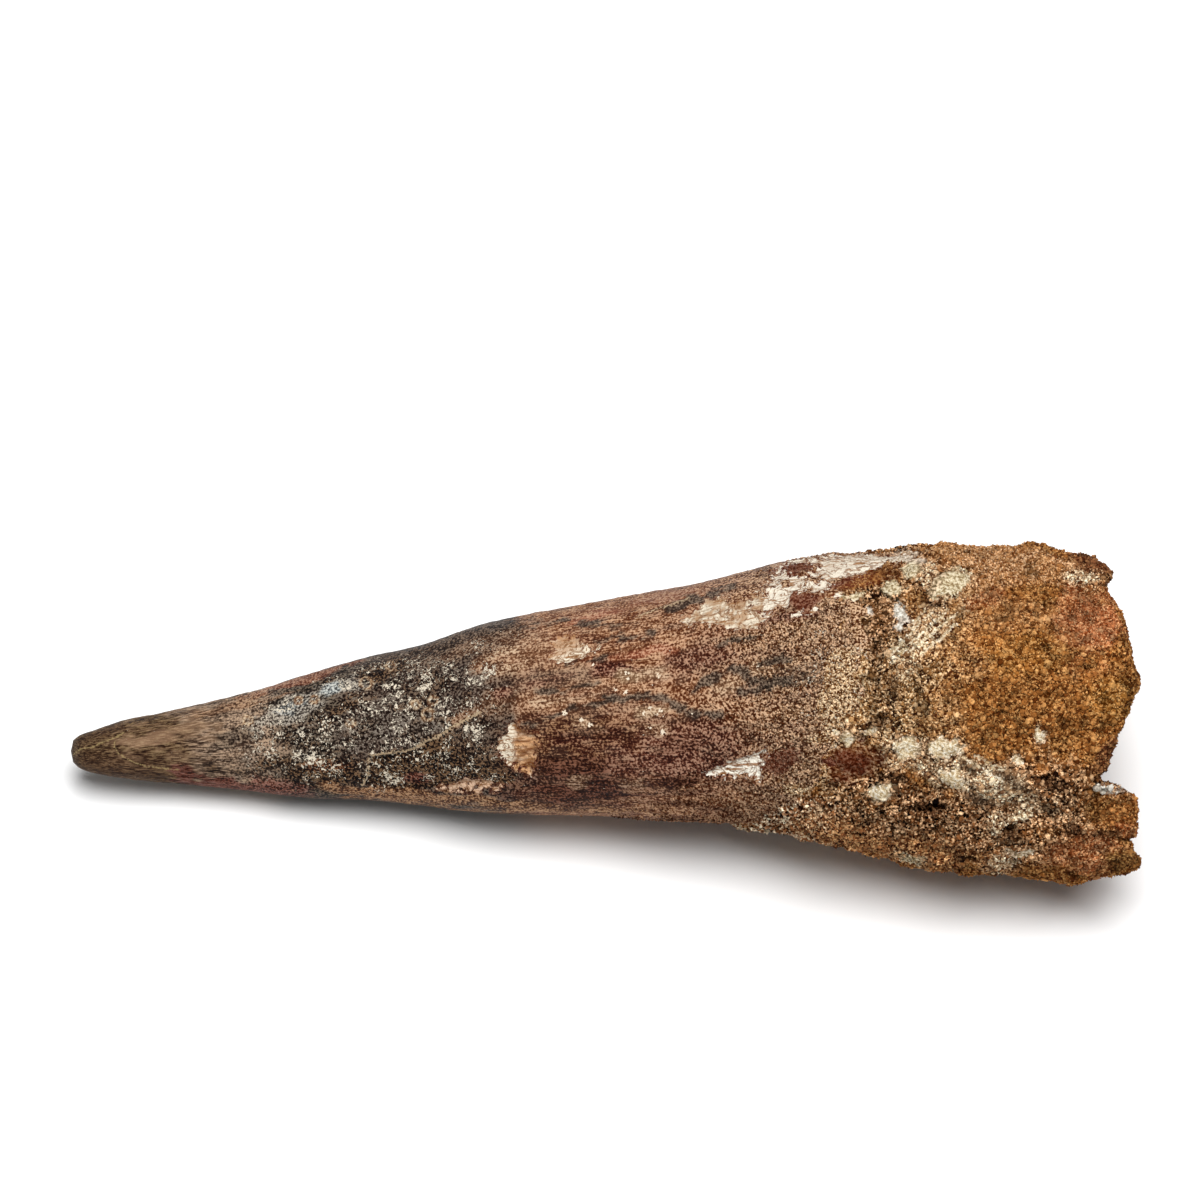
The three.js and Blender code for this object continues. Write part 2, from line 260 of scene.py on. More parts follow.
# Dark cracks through the bare dentine: their lines.
DARK_CRACKS = [
    [(54.0, 2.45), (54.9, 2.35), (55.4, 2.5)],
    [(54.1, 1.05), (55.4, 1.15), (56.7, 1.1)],
    [(53.75, 0.45), (53.8, -0.5), (53.4, -1.3)],
    [(52.3, 0.25), (53.2, 0.35), (54.3, 0.2)],
    [(61.2, 13.4), (61.35, 12.2), (61.1, 11.1)],
    [(62.4, 13.1), (61.8, 12.6), (62.3, 12.0)],
    [(58.5, 12.7), (59.6, 12.4)],
    [(79.5, -2.3), (81.2, -1.9), (82.6, -2.2), (83.4, -2.0)],
    [(82.2, -0.6), (83.0, -1.6)],
    [(81.8, -2.6), (82.6, -3.2), (83.6, -3.3)],
    [(79.6, 18.9), (79.8, 17.6), (79.5, 16.4), (79.9, 15.3)],
    [(76.9, 17.9), (78.2, 17.2), (79.6, 17.3)],
    [(81.0, 17.9), (82.3, 17.2), (83.6, 17.5)],
    [(80.4, 15.9), (81.9, 15.6), (83.2, 15.9)],
    [(45.6, -4.3), (48.0, -4.0), (50.6, -4.3)],
]
CRACK_WIDTH = 0.07
# Dark grey bands that wander over the middle: half width and line.
DARK_BANDS = [
    (0.45, [(65.0, 6.5), (68.0, 6.6), (71.0, 6.8), (72.6, 6.2), (74.0, 5.3), (75.3, 4.7), (78.6, 4.5)]),
    (
        0.55,
        [(75.4, 7.2), (76.5, 8.3), (78.2, 9.2), (80.2, 9.9)]
        + [(81.6, 9.7), (82.5, 8.7), (84.5, 8.2), (87.0, 8.6)],
    ),
    (0.45, [(87.0, 8.6), (90.5, 8.7)]),
    (0.5, [(81.2, 7.5), (83.0, 7.5), (84.8, 7.7)]),
    (0.45, [(83.6, 10.5), (85.2, 11.0), (86.6, 11.1)]),
    (0.5, [(72.4, 17.4), (75.5, 18.4), (78.1, 19.1), (80.2, 20.0)]),
    (0.2, [(54.5, 15.3), (57.0, 15.7), (60.0, 16.0)]),
    (0.4, [(61.5, 15.6), (64.5, 15.6), (66.5, 15.2)]),
    (0.3, [(63.5, 13.4), (67.0, 13.8), (70.5, 14.4)]),
    (0.25, [(60.0, 10.9), (63.0, 11.0), (65.0, 11.7)]),
    (0.35, [(56.5, 7.3), (60.0, 7.5), (64.0, 8.4)]),
    (0.3, [(60.5, 5.6), (63.5, 5.7), (65.5, 6.3)]),
    (0.25, [(54.6, 3.2), (57.0, 3.6), (59.0, 4.3)]),
    (0.2, [(78.4, 13.2), (81.0, 13.4), (83.6, 13.9)]),
]
# Pale spots: middle and radius.
SPOTS = [
    (63.3, 10.6, 0.25),
    (67.4, 9.6, 0.35),
    (67.6, 8.9, 0.25),
    (71.2, 9.3, 0.26),
    (70.6, 8.1, 0.24),
    (67.3, 7.2, 0.3),
    (66.0, 7.6, 0.2),
    (70.2, 5.3, 0.3),
    (71.5, 5.0, 0.28),
    (70.8, 4.5, 0.25),
    (71.8, 4.4, 0.2),
    (69.4, 4.7, 0.25),
    (71.7, 2.4, 0.35),
    (70.2, 2.9, 0.25),
    (62.9, 3.3, 0.35),
    (61.8, 3.9, 0.3),
    (59.8, 4.7, 0.35),
    (83.3, 10.3, 0.25),
    (74.6, 4.5, 0.16),
    (75.3, 4.6, 0.12),
]
# Rings of pale mineral on the crown: middle, radius, and half the width of their lines.
RINGS = [
    (35.7, 8.4, 0.7),
    (38.7, 10.4, 0.5),
    (33.8, 3.5, 0.45),
    (43.2, 4.5, 0.7),
    (43.8, 6.2, 0.5),
    (41.7, 5.8, 0.5),
    (29.4, 6.4, 0.4),
    (27.5, 6.3, 0.4),
    (21.3, 3.8, 0.5),
]
RING_WIDTH = 0.16

# Patches that more than one table names: along, across, half length, half width, tilt.
MAROON_SKIN = (94.7, -1.2, 3.6, 2.8, 14)
MAROON_RIM = (88.9, 18.4, 2.2, 1.3, 8)
OCHRE_RIND = (97.6, 21.5, 5.6, 0.9, 18)
BARE_STRIP = (100.2, 23.75, 3.0, 0.6, -2)
SANDY_SKIN = (88.3, -4.8, 2.0, 1.1, -14)

# ---------------------------------------------------------------- tones, as sRGB: darkest, middle, lightest

TOOTH_TONES = {
    "worn tip": ("221008", "503826", "8a7152"),
    "ochre": ("8a6a52", "927358", "a98a6c"),
    "umber tip": ("29160d", "4a3221", "7d6147"),
    "brown crown": ("38281e", "766150", "b4987e"),
    "grey crown": ("040100", "352a22", "6c5f50"),
    "ash": ("140904", "4c3f35", "80756a"),
    "dark crown": ("120704", "403028", "6c5d51"),
    "blue white": ("4e5252", "8a9496", "d6dcd8"),
    "cloud": ("2e2823", "6e665c", "c4bbad"),
    "black flake": ("060000", "1c0b05", "765a40"),
    "rust speck": ("180804", "4a2818", "98694c"),
    "rust rim": ("180200", "602e1e", "96685a"),
    "top brown": ("1a0c04", "453226", "826d5b"),
    "tan rim": ("3b1e0c", "7a5033", "bc936d"),
    "light brown": ("5a351f", "875f44", "c49f80"),
    "brown": ("52260f", "895c3e", "ca9f7d"),
    "umber": ("300f05", "54321f", "9c7454"),
    "dark brown": ("1a0200", "38190a", "7a4e3c"),
    "red": ("6a3320", "9c6044", "c9977a"),
    "red top": ("7a4630", "9a6a52", "b99478"),
    "grey": ("423127", "6a5343", "9d8169"),
    "dark band": ("2b2019", "4c3e34", "7c6b5b"),
    "dark red": ("2c0c05", "603324", "a88069"),
    "tan sand": ("451f0a", "8f6847", "dab592"),
    "pale brown": ("7a5a40", "a98a6b", "d9bfa0"),
    "maroon": ("4c2012", "70402b", "8e6450"),
    "yellow sand": ("5a3213", "b58c60", "f4d9b2"),
    "ochre rind": ("622d19", "7e4c2b", "b1814f"),
    "tan flake": ("553421", "a17b5c", "d8bd9e"),
    "ring": ("6b4a35", "a8835f", "d9c2a2"),
}
# The tooth's stretches, from the tip: where each starts, half the length over which it does, and its tones.
TOOTH_STRETCHES = [
    (13.5, 1.6, "brown crown"),
    (25, 1.6, "grey crown"),
    (33, 1.6, "dark crown"),
    (55, 2.0, "brown"),
    (81, 6.0, "tan sand"),
]
# Wide grounds under the mottling: tones, along, across, half length, half width, tilt, strength.
TOOTH_GROUNDS = [
    ("umber tip", 6, -1.9, 9, 1.9, -4, 1),
    ("ash", 39, 3.0, 6.5, 2.4, 12, 1),
    ("black flake", 31, -2.6, 5, 1.8, -4, 1),
    ("black flake", 44, -2.2, 9, 2.0, 0, 0.8),
    ("black flake", 37, 9.6, 6, 1.5, 20, 0.5),
    # From here the middle's grounds run lighter towards the upper edge and darker towards the lower edge:
    # partly the tooth's own tones, partly painted light above and painted shade below.
    ("light brown", 54.5, 12.3, 5.5, 2.8, 18, 0.9),
    ("grey", 59, 8.9, 5, 1.8, 8, 0.8),
    ("light brown", 58, 6.1, 7, 1.5, 4, 0.8),
    ("umber", 62, 1.0, 9, 4.2, 4, 1),
    ("dark brown", 62, -4.0, 9, 2.8, -2, 1),
    ("dark red", 74, 0.2, 9, 3.6, 3, 0.9),
    ("brown", 74, -5.8, 8, 2.2, -3, 0.8),
    ("dark red", 76, 11.4, 5, 1.6, 6, 0.5),
]
# Mottling, drawn out along the tooth: tones, size along, size across, seed, stretch it lies on, share, and
# the distances across between which it fades in.
TOOTH_MOTTLES = [
    ("umber tip", 3.0, 0.7, 55, 1, 16, 0.5, (9, 0)),
    ("ochre", 2.2, 0.8, 56, 5, 19, 0.5, (-3, 1)),
    ("black flake", 2.4, 1.5, 57, 23, 54, 0.55, (14, 10)),
    ("ash", 1.6, 1.2, 58, 17, 54, 0.5, (-9, -8)),
    # The middle's dark mottling fades in below and its light mottling above: partly the tooth's own tones,
    # partly painted shade below and painted light above.
    ("dark brown", 6.0, 1.0, 51, 52, 80, 0.6, (7, 2)),
    ("light brown", 4.5, 0.9, 52, 50, 84, 0.3, (0, 6)),
    ("dark red", 3.5, 1.1, 53, 54, 90, 0.35, (-9, -8)),
    ("grey", 2.8, 0.8, 54, 54, 94, 0.3, (-9, -8)),
]
# Patches on the tooth: tones, along, across, half length, half width, tilt, strength.
TOOTH_PATCHES = [
    ("ochre", 7.2, 1.2, 2.2, 0.9, 8, 0.9),
    ("ochre", 10.8, 1.9, 2.8, 1.1, 10, 0.85),
    ("ochre", 14.4, 3.0, 2.4, 1.0, 12, 0.5),
    ("brown crown", 17.8, 4.9, 1.4, 1.3, 10, 0.8),
    ("umber tip", 3.4, 2.2, 3.0, 0.9, 24, 0.7),
    ("umber tip", 3.4, -1.4, 2.6, 0.9, -8, 1),
    ("rust rim", 14, -2.7, 2.0, 1.1, -10, 1),
    ("rust rim", 20, -4.3, 7, 0.9, -6, 1),
    ("rust rim", 26, -4.3, 5, 0.8, -8, 0.9),
    ("red", 27, 8.5, 6.0, 0.7, 19, 0.6),
    ("tan rim", 20.5, 5.9, 5.0, 0.7, 15, 0.5),
    ("grey crown", 19.5, 1.8, 3, 1.2, 10, 0.6),
    ("black flake", 17.5, -2.0, 2.6, 0.6, -8, 0.8),
    ("black flake", 24.6, -1.4, 3.0, 0.8, 8, 0.8),
    ("black flake", 31, -2.7, 4.5, 1.3, -6, 1),
    ("black flake", 38.5, 9.9, 3.6, 1.0, 22, 0.7),
    ("black flake", 33, 5.3, 2.8, 0.6, 16, 0.8),
    ("rust speck", 31.6, -1.6, 3.6, 0.6, 0, 0.7),
    ("top brown", 46, 12.5, 6.0, 2.0, 19, 0.9),
    ("top brown", 51.5, 13.6, 4.5, 1.6, 19, 0.6),
    ("cloud", 26.4, 5.0, 4.4, 1.5, 24, 0.7),
    ("cloud", 32.6, 7.9, 3.0, 1.0, 12, 0.7),
    ("blue white", 31.6, 7.7, 1.3, 0.8, 10, 0.6),
    ("blue white", 26.6, 5.4, 1.6, 0.6, 24, 0.4),
    ("ash", 38.5, 6.2, 3.0, 0.8, 14, 0.6),
    ("tan rim", 33, -4.6, 4, 0.8, -8, 0.9),
    ("tan rim", 42, -5.4, 10, 0.9, -4, 1),
    ("tan rim", 58, -7.0, 12, 0.5, -1.5, 0.9),
    ("light brown", 48.6, 12.7, 4.0, 0.9, 20, 0.3),
    ("light brown", 48.2, 4.7, 2.6, 0.8, 24, 0.8),
    ("dark red", 51.8, 6.8, 1.6, 0.9, 0, 0.8),
    ("light brown", 54.5, 11.8, 4.0, 2.4, 20, 0.4),
    ("tan flake", 53.6, 10.2, 2.0, 0.5, 22, 0.8),
    ("tan flake", 53.2, 12.4, 2.2, 0.35, 14, 0.7),
    ("tan flake", 58, 6.2, 5.0, 0.5, 6, 0.5),
    ("dark red", 57.0, 8.2, 2.2, 0.7, 0, 0.7),
    ("dark red", 76, 11.6, 4.0, 1.3, 6, 0.6),
    ("dark red", 74, -1.6, 6.5, 1.3, -3, 0.95),
    ("dark brown", 60.4, -1.6, 4.4, 1.2, -3, 0.7),
    ("dark brown", 62.5, -4.6, 6.5, 1.0, -2, 1),
    ("dark brown", 73, -3.6, 5, 0.6, 4, 0.9),
    ("tan flake", 61.5, -3.7, 1.2, 0.5, 0, 0.5),
    ("tan flake", 68, -4.0, 1.9, 0.6, 0, 0.4),
    ("tan flake", 62.2, 3.5, 1.8, 0.6, -18, 0.8),
    ("tan flake", 70.6, 2.9, 2.0, 0.7, 0, 0.6),
    ("red", 66.4, 11.4, 3.2, 0.6, 8, 0.7),
    ("dark red", 65.8, 10.2, 2.6, 1.0, 0, 1),
    ("red", 70.4, 12.3, 4.4, 0.7, 10, 0.8),
    ("pale brown", 67.4, 9.2, 1.2, 0.8, 0, 0.8),
    ("pale brown", 70.6, 9.6, 1.6, 1.0, 12, 0.5),
    ("pale brown", 70.2, 4.8, 1.9, 0.8, 0, 0.8),
    ("pale brown", 83.2, 9.9, 1.6, 0.6, 0, 0.7),
    ("pale brown", 79.5, 8.0, 2.2, 0.9, 14, 0.4),
    ("red top", 65, 17.0, 4.5, 0.7, 12, 0.6),
    ("red top", 72, 18.8, 6.5, 0.8, 13, 0.6),
    ("red", 63.6, 16.4, 2.2, 0.4, 14, 0.7),
    ("grey", 88.0, 9.6, 3.5, 1.2, 3, 0.5),
    ("dark red", 86.8, 16.2, 4, 0.6, 8, 0.9),
    ("maroon", *MAROON_RIM, 1),
    ("maroon", 84.9, 17.1, 2.0, 0.3, 4, 1),
    ("maroon", 86.2, -1.0, 2.3, 1.6, 20, 0.9),
    ("maroon", *MAROON_SKIN, 1),
    ("yellow sand", 93.0, 7.0, 2.4, 6.0, -6, 0.9),
    ("yellow sand", 91.8, 1.8, 2.4, 0.8, 15, 0.9),
    ("yellow sand", *SANDY_SKIN, 1),
    ("ochre rind", 96.6, 21.0, 5.0, 1.1, 20, 1),
    ("maroon", 93.0, 20.3, 3.2, 0.4, 24, 1),
    ("maroon", 88.3, 22.5, 3.4, 0.9, 8, 1),
]
# Where bare dentine has a tone of its own: from and to along, from and to across.
DENTINE_BOXES = {
    "yellowed": (70, 84.5, 10, np.inf),
    "window": (50, 57, -3, 5),
    "upper": (56, 64, 9, np.inf),
    "band": (84, np.inf, 10, np.inf),
    "triangle": (70, np.inf, -np.inf, 2),
    "sliver": (40, 53, -np.inf, -3),
}
# How thickly pale flecks lie on the skin: along, across, half length, half width, tilt, density.
FLECK_PATCHES = [
    (36, 3.8, 17, 7.0, 16, 0.44),
    (42, -1.0, 11, 3.6, 4, 0.45),
    (26.0, 5.0, 5.0, 2.2, 22, 0.5),
    (33.6, 8.0, 2.0, 1.0, 10, 0.66),
    (28.8, -0.4, 3.4, 1.3, -6, 0.65),
    (29.4, 3.1, 1.6, 0.9, 0, 0.63),
    (34.0, 0.3, 3.0, 1.0, 0, 0.56),
    (31.4, 2.0, 3.4, 1.4, 0, 0.52),
    (38.2, -2.9, 2.2, 1.7, 0, 0.7),
    (40.6, -0.9, 1.2, 0.7, -10, 0.61),
    (48.4, 2.2, 2.8, 1.9, 25, 0.68),
    (45.6, 1.6, 1.4, 0.6, 20, 0.61),
    (42.6, 8.4, 2.6, 1.2, 12, 0.7),
    (41.7, 5.6, 1.0, 0.9, 0, 0.61),
    (43.9, 6.3, 0.9, 0.7, 0, 0.61),
    (39.5, 7.6, 5.0, 1.4, 16, 0.52),
    (50.9, 10.4, 1.7, 1.3, 10, 0.65),
    (49.2, 8.5, 1.6, 0.9, 20, 0.61),
    (46.7, 7.3, 0.9, 0.5, 10, 0.61),
    (45.7, 10.6, 1.2, 0.8, 0, 0.52),
    (38.5, 10.6, 3.0, 0.8, 18, 0.52),
    (47, 11.8, 6, 1.2, 16, 0.4),
    (51.5, -3.2, 2.8, 0.8, -4, 0.56),
    (45.0, -2.4, 2.4, 1.1, 0, 0.52),
    (92, 8, 5, 8, 0, 0.47),
    (*SANDY_SKIN, 0.65),
]

# Unevenness that both the forms and the finishes follow: size and seed of a cloud.
RAGGED_EDGES = ((2.0, 1.0, 1.0), 8)
STONE_LUMPS = (2.6, 31)
STONE_PITS = (1.1, 32)

STONE_TONES = {
    "golden": ("522709", "97602e", "c69258"),
    "salted": ("2a0f05", "9c6f40", "f2d2a6"),
    "mixed": ("48210b", "a07142", "ddb280"),
    "shaded": ("040000", "84542f", "f6ca9c"),
    "umber": ("140600", "6a4428", "cc9e76"),
    "pale": ("54301a", "cca57b", "fff4d4"),
    "top": ("74431e", "b48354", "e2b78c"),
    "reddish": ("7c3a16", "b06f46", "d69f71"),
    "nub": ("421d0c", "72452a", "9e7049"),
    "lobe": ("683712", "a86a36", "d49a5c"),
    "dull": ("48290f", "84592d", "ab8049"),
    "edge": ("3a1406", "a86e42", "e8b67e"),
    "left": ("100000", "9a6640", "fff0d0"),
    "yellow": ("613409", "a4702f", "d6a767"),
    # Painted shade for the stone's pits and hollows.
    "pore": ("060100", "2e170b", "7a5030"),
    "front": ("5a3010", "b98e5e", "f6dcb4"),
    "chalk": ("9a825c", "dccba6", "f6eacd"),
    "cream": ("c2a67c", "f0dfbc", "fff6e2"),
    "white": ("b5aa9a", "e0dacc", "fbf8ee"),
    "dentine": ("c9b297", "ece0cc", "faf2e4"),
    "rind": ("5c2a14", "784a29", "a87442"),
    "maroon": ("401607", "62331f", "7e5642"),
}
# Patches on the stone: tones, along, across, half length, half width, tilt, strength.
STONE_PATCHES = [
    ("mixed", 103.5, 4.0, 5.0, 6.0, 20, 1),
    ("mixed", 104.5, 15.5, 5.5, 4.4, 60, 1),
    ("mixed", 108, 11.0, 3.4, 2.2, -30, 0.7),
    ("salted", 97.0, 13.0, 5.0, 7.5, -16, 1),
    ("salted", 98.5, 5.0, 5.5, 4.0, -40, 1),
    ("salted", 103.0, 9.5, 3.0, 2.0, 30, 0.8),
    ("salted", 94.0, -2.5, 5, 6, 0, 1),
    ("left", 87.5, -7.8, 10, 3.4, -12, 1),
    ("edge", 101.0, -11.2, 12, 3.0, -12, 1),
    ("shaded", 107.5, -7.8, 17, 3.8, -10, 1),
    ("shaded", 118, -5.5, 6, 4, -20, 0.9),
    ("shaded", 98.0, -3.6, 3.6, 1.2, 12, 0.9),
    ("shaded", 97.8, 9.0, 1.8, 4.0, 6, 0.4),
    # Partly painted shade: this upward-facing patch is darkened against the light that falls on it.
    ("umber", 97.8, 15.0, 2.8, 4.5, -16, 0.8),
    ("shaded", 104.6, 21.8, 1.6, 1.4, 0, 0.5),
    ("pale", 107.3, -2.6, 8.5, 2.6, -22, 1),
    ("pale", 114.5, -4.6, 5.0, 1.2, -30, 0.5),
    ("pale", 103.2, 14.6, 5.0, 2.4, 44, 0.75),
    ("pale", 101.4, 10.6, 2.6, 1.2, 40, 0.5),
    ("top", 112.5, 22.8, 9, 2.8, -4, 1),
    ("top", 114.5, 17.0, 7, 2.4, 0, 0.3),
    ("shaded", 97.0, 24.7, 5.5, 0.6, 4, 0.9),
    ("reddish", 123.8, 15.4, 4.2, 5.2, 10, 1),
    ("reddish", 111.5, 18.8, 2.4, 1.0, 20, 0.6),
    ("nub", 124.4, 23.2, 4.0, 1.3, -24, 1),
    ("pale", 122.2, 21.2, 2.4, 0.8, -10, 0.7),
    ("yellow", 126.6, 6.5, 3.2, 3.0, 0, 0.5),
    ("yellow", 116.5, 12.0, 5.0, 2.6, 10, 0.3),
    ("nub", 126.0, -1.0, 1.4, 2.2, -16, 0.9),
    ("reddish", 123.5, -12.4, 4.6, 2.4, 0, 0.7),
    ("lobe", 127.4, -7.0, 3.2, 2.6, 0, 1),
    ("reddish", 128.4, -9.6, 1.8, 1.0, 0, 0.7),
    # Painted shade: near-black patches over pits and hollows of the stone, many of them where HOLLOWS sinks
    # its body.
    ("pore", 99.4, -3.4, 2.6, 0.7, 10, 0.8),
    ("pore", 104.4, -6.8, 3.0, 0.9, 4, 0.9),
    ("pore", 109.6, -5.6, 3.0, 0.6, -24, 0.8),
    ("pore", 113.8, -3.6, 2.2, 0.6, -30, 0.6),
    ("pore", 118.5, -3.6, 2.0, 0.7, -20, 0.8),
    ("pore", 113.8, -9.9, 1.6, 0.8, 10, 0.8),
    ("pore", 108.8, -13.0, 1.6, 0.5, -10, 0.7),
    ("pore", 97.8, 3.6, 1.2, 0.9, 40, 0.7),
    ("pore", 99.8, 8.0, 0.8, 2.2, 10, 0.5),
    ("pore", 95.6, 12.5, 1.0, 2.0, -10, 0.4),
    ("pore", 121.5, -9.6, 1.6, 0.7, -20, 0.7),
    ("pore", 125.4, -9.9, 2.0, 0.4, 4, 0.8),
    ("pore", 104.9, 18.1, 0.8, 0.6, 0, 0.9),
    ("front", 93.6, 7.5, 2.6, 7.5, -6, 1),
    ("maroon", *MAROON_SKIN, 1),
    ("dull", 127.8, -13.4, 2.2, 1.5, 0, 0.9),
    ("rind", *OCHRE_RIND, 1),
]
# Patches of the root and of the stone that are free of grains.
SMOOTH_ROOT = [MAROON_RIM, (94.5, 20.5, 5, 1.3, 20), MAROON_SKIN]
SMOOTH_STONE = [MAROON_SKIN, OCHRE_RIND, BARE_STRIP]
# Pale scratches over the stone: their ends.
SCRATCHES = [
    [(99.3, 12.2), (104.5, 17.1)],
    [(100.4, 12.1), (106.3, 17.2)],
    [(101.6, 12.2), (107.3, 16.8)],
    [(103.2, 12.0), (107.2, 15.4)],
    [(101.0, 14.8), (103.6, 17.2)],
    [(99.4, 10.9), (101.4, 12.6)],
    [(93.3, 10.0), (94.2, 7.4), (95.1, 5.0)],
    [(108.0, -0.6), (110.4, -2.0), (112.8, -3.6)],
    [(109.6, -0.4), (112.0, -1.8)],
    [(113.4, -12.2), (115.2, -12.6), (116.6, -12.4)],
    [(113.0, -13.4), (115.0, -13.3)],
    [(114.4, -8.0), (116.6, -6.9)],
]
SCRATCH_WIDTH = 0.2
# Chalky crusts on the stone: tones, along, across, half length, half width, tilt, height.
CRUSTS = [
    ("dentine", *BARE_STRIP, 0),
    ("chalk", 101.9, 22.1, 1.2, 1.1, 0, 0.4),
    ("chalk", 99.6, 19.8, 1.3, 1.1, 0, 0.4),
    ("chalk", 106.6, 20.5, 2.7, 1.5, 18, 0.6),
    ("pale", 104.2, 21.6, 1.4, 0.9, 60, 0.2),
    ("white", 100.5, 16.7, 1.0, 1.3, 20, 0.2),
    ("white", 100.3, 15.3, 0.5, 0.5, 0, 0.1),
    ("white", 96.4, 17.2, 0.5, 0.4, 0, 0.1),
    ("chalk", 94.4, 18.8, 1.5, 0.45, 8, 0.1),
    ("cream", 94.0, 1.8, 0.95, 0.9, 0, 0.5),
    ("cream", 92.8, 2.6, 0.7, 0.65, 0, 0.35),
    ("cream", 96.4, 2.4, 0.7, 0.4, 0, 0.25),
    ("cream", 101.3, 0.4, 1.7, 1.35, -8, 0.5),
    ("cream", 105.7, 0.4, 2.1, 1.15, 10, 0.5),
    ("cream", 106.8, -3.2, 1.8, 1.0, -25, 0.5),
    ("cream", 98.3, -4.9, 1.7, 1.1, 25, 0.5),
    ("pale", 112.2, -8.6, 1.2, 1.3, 0, 0.5),
    ("pale", 115.0, -7.9, 1.5, 1.0, 20, 0.4),
    ("chalk", 101.9, -13.1, 1.5, 0.5, -14, 0.2),
    ("pale", 112.7, -13.5, 1.6, 0.85, 10, 0.3),
    ("cream", 117.5, 1.9, 0.6, 0.85, 0, 0.3),
    ("cream", 114.6, -1.0, 0.6, 0.6, 0, 0.3),
    ("white", 125.8, -4.7, 1.6, 0.5, -10, 0.2),
    ("pale", 122.5, 21.1, 2.2, 0.8, -10, 0.2),
]
# Hollows in the stone: along, across, half length, half width, depth.
HOLLOWS = [
    (104.7, -7.0, 1.9, 0.8, 0.9),
    (102.4, -7.0, 0.8, 0.6, 0.7),
    (109.0, -13.3, 1.0, 0.5, 0.8),
    (114.0, -9.8, 1.1, 0.8, 0.9),
    (118.3, -3.3, 0.8, 0.6, 0.7),
    (109.4, -4.6, 0.8, 0.4, 0.6),
    (105.2, 18.1, 0.45, 0.45, 0.8),
    (97.7, 3.8, 0.8, 1.0, 0.6),
    (128.4, -10.8, 1.6, 0.4, 0.8),
    (97.5, -3.2, 2.0, 0.6, 0.5),
]
LOOSE_HOLLOWS = 170  # small hollows strewn over the whole stone
LOOSE_HOLLOW_SIZE = (0.35, 0.9)
DOME = {"size": 0.95, "height": 0.28}  # packed grains in the stone's body, under the loose sand
COARSE_BED = (117, 6, 10, 11, 10)  # along, across, half length, half width, tilt

# ---------------------------------------------------------------- fineness, in millimetres

TOOTH_COLUMNS = 234
TOOTH_RING_STEP = 0.262
TOOTH_BURIED_STEP = 1.5  # past the stone's front edge the tooth isn't seen
TOOTH_SEEN_TO = 104
DISPLAY_FINER = 0.25  # columns on the display face are closer by this share
STONE_COLUMNS = 460
STONE_SIDE_RINGS = 150
STONE_END_RINGS = 58
FIRST_END_RING = 0.35  # how far in from the corner the first of them lies, in steps between rings
CORNER_PASSES = 6
GRAIN_ROOM = 0.2  # the stone's body stays this far under the solid, so that its grains reach that surface

# Number of grains of each kind, their radii, and how far above the surface their middles lie, in radii.
COARSE_SAND = {"count": 8000, "radius": (0.3, 0.52), "raised": (-0.8, -0.25)}
FINE_SAND = {"count": 42000, "radius": (0.13, 0.24), "raised": (-0.5, 0.5)}
CRUST_SAND = {"count": 28000, "radius": (0.11, 0.2), "raised": (-0.4, 0.3)}

# ---------------------------------------------------------------- helpers for arrays

LIGHT_GAIN = 0.92  # the light brings every tone up by the inverse of this, so that paper is pure white
OUTSIDE = -3.0  # the least that the field of a mark falls to outside it
HIDDEN = 4  # the field of a mark on the display face is this much lower on the hidden side


def linear(code):
    """An sRGB hex colour, as it looks under the studio light, as linear red, green and blue of a surface."""
    channels = np.array([int(code[i : i + 2], 16) for i in (0, 2, 4)]) / 255
    return LIGHT_GAIN * np.where(channels <= 0.04045, channels / 12.92, ((channels + 0.055) / 1.055) ** 2.4)


def smoothstep(value, start, end):
    """0 before start, 1 after end, and 3t² - 2t³ between them."""
    t = np.clip((value - start) / (end - start), 0, 1)
    return t * t * (3 - 2 * t)


def curve(table, column, at):
    """One column of a table at places along its first column: a cubic through each two rows, whose slope at
    a row is the slope between that row's two neighbours."""
    rows = np.asarray(table, float)
    x, y = rows[:, 0], rows[:, column]
    number = np.arange(len(x))
    before, after = np.maximum(number - 1, 0), np.minimum(number + 1, len(x) - 1)
    slope = (y[after] - y[before]) / (x[after] - x[before])
    at = np.clip(at, x[0], x[-1])
    i = np.clip(np.searchsorted(x, at) - 1, 0, len(x) - 2)
    run = x[i + 1] - x[i]
    t = (at - x[i]) / run
    s = t * t * (3 - 2 * t)
    bend = run * slope[i] * t * (1 - t) ** 2 + run * slope[i + 1] * t * t * (t - 1)
    return y[i] * (1 - s) + y[i + 1] * s + bend


def swell(x, y, z):
    """Smooth unevenness from -1 to 1: scattered values on a unit lattice, blended between its points."""
    x, y, z = np.broadcast_arrays(x, y, z)
    i, j, k = np.floor(x), np.floor(y), np.floor(z)
    fx, fy, fz = (t * t * (3 - 2 * t) for t in (x - i, y - j, z - k))
    total = np.zeros(x.shape)
    for di, dj, dk in itertools.product((0, 1), repeat=3):
        scattered = np.sin(127.1 * (i + di) + 311.7 * (j + dj) + 74.7 * (k + dk)) * 43758.5453
        value = 2 * (scattered - np.floor(scattered)) - 1
        total += (fx if di else 1 - fx) * (fy if dj else 1 - fy) * (fz if dk else 1 - fz) * value
    return total


def swells(layers, along, across, outward):
    """The solids' unevenness: the sum of each layer's swell at its own size and height."""
    return sum(high * swell(along / long, across / wide, outward / wide) for long, wide, high in layers)


def cloud(points, size, seed, octaves=3):
    """Broken unevenness, about -1 to 1: swells of a size in millimetres, with finer and lower ones on top,
    each half as large and 0.6 times as high."""
    total, height = 0, 1
    for octave in range(octaves):
        spread = points * 2**octave / np.asarray(size) + 31.7 * seed + 7.3 * octave
        total = total + height * swell(*np.moveaxis(spread, -1, 0))
        height *= 0.6
    return total


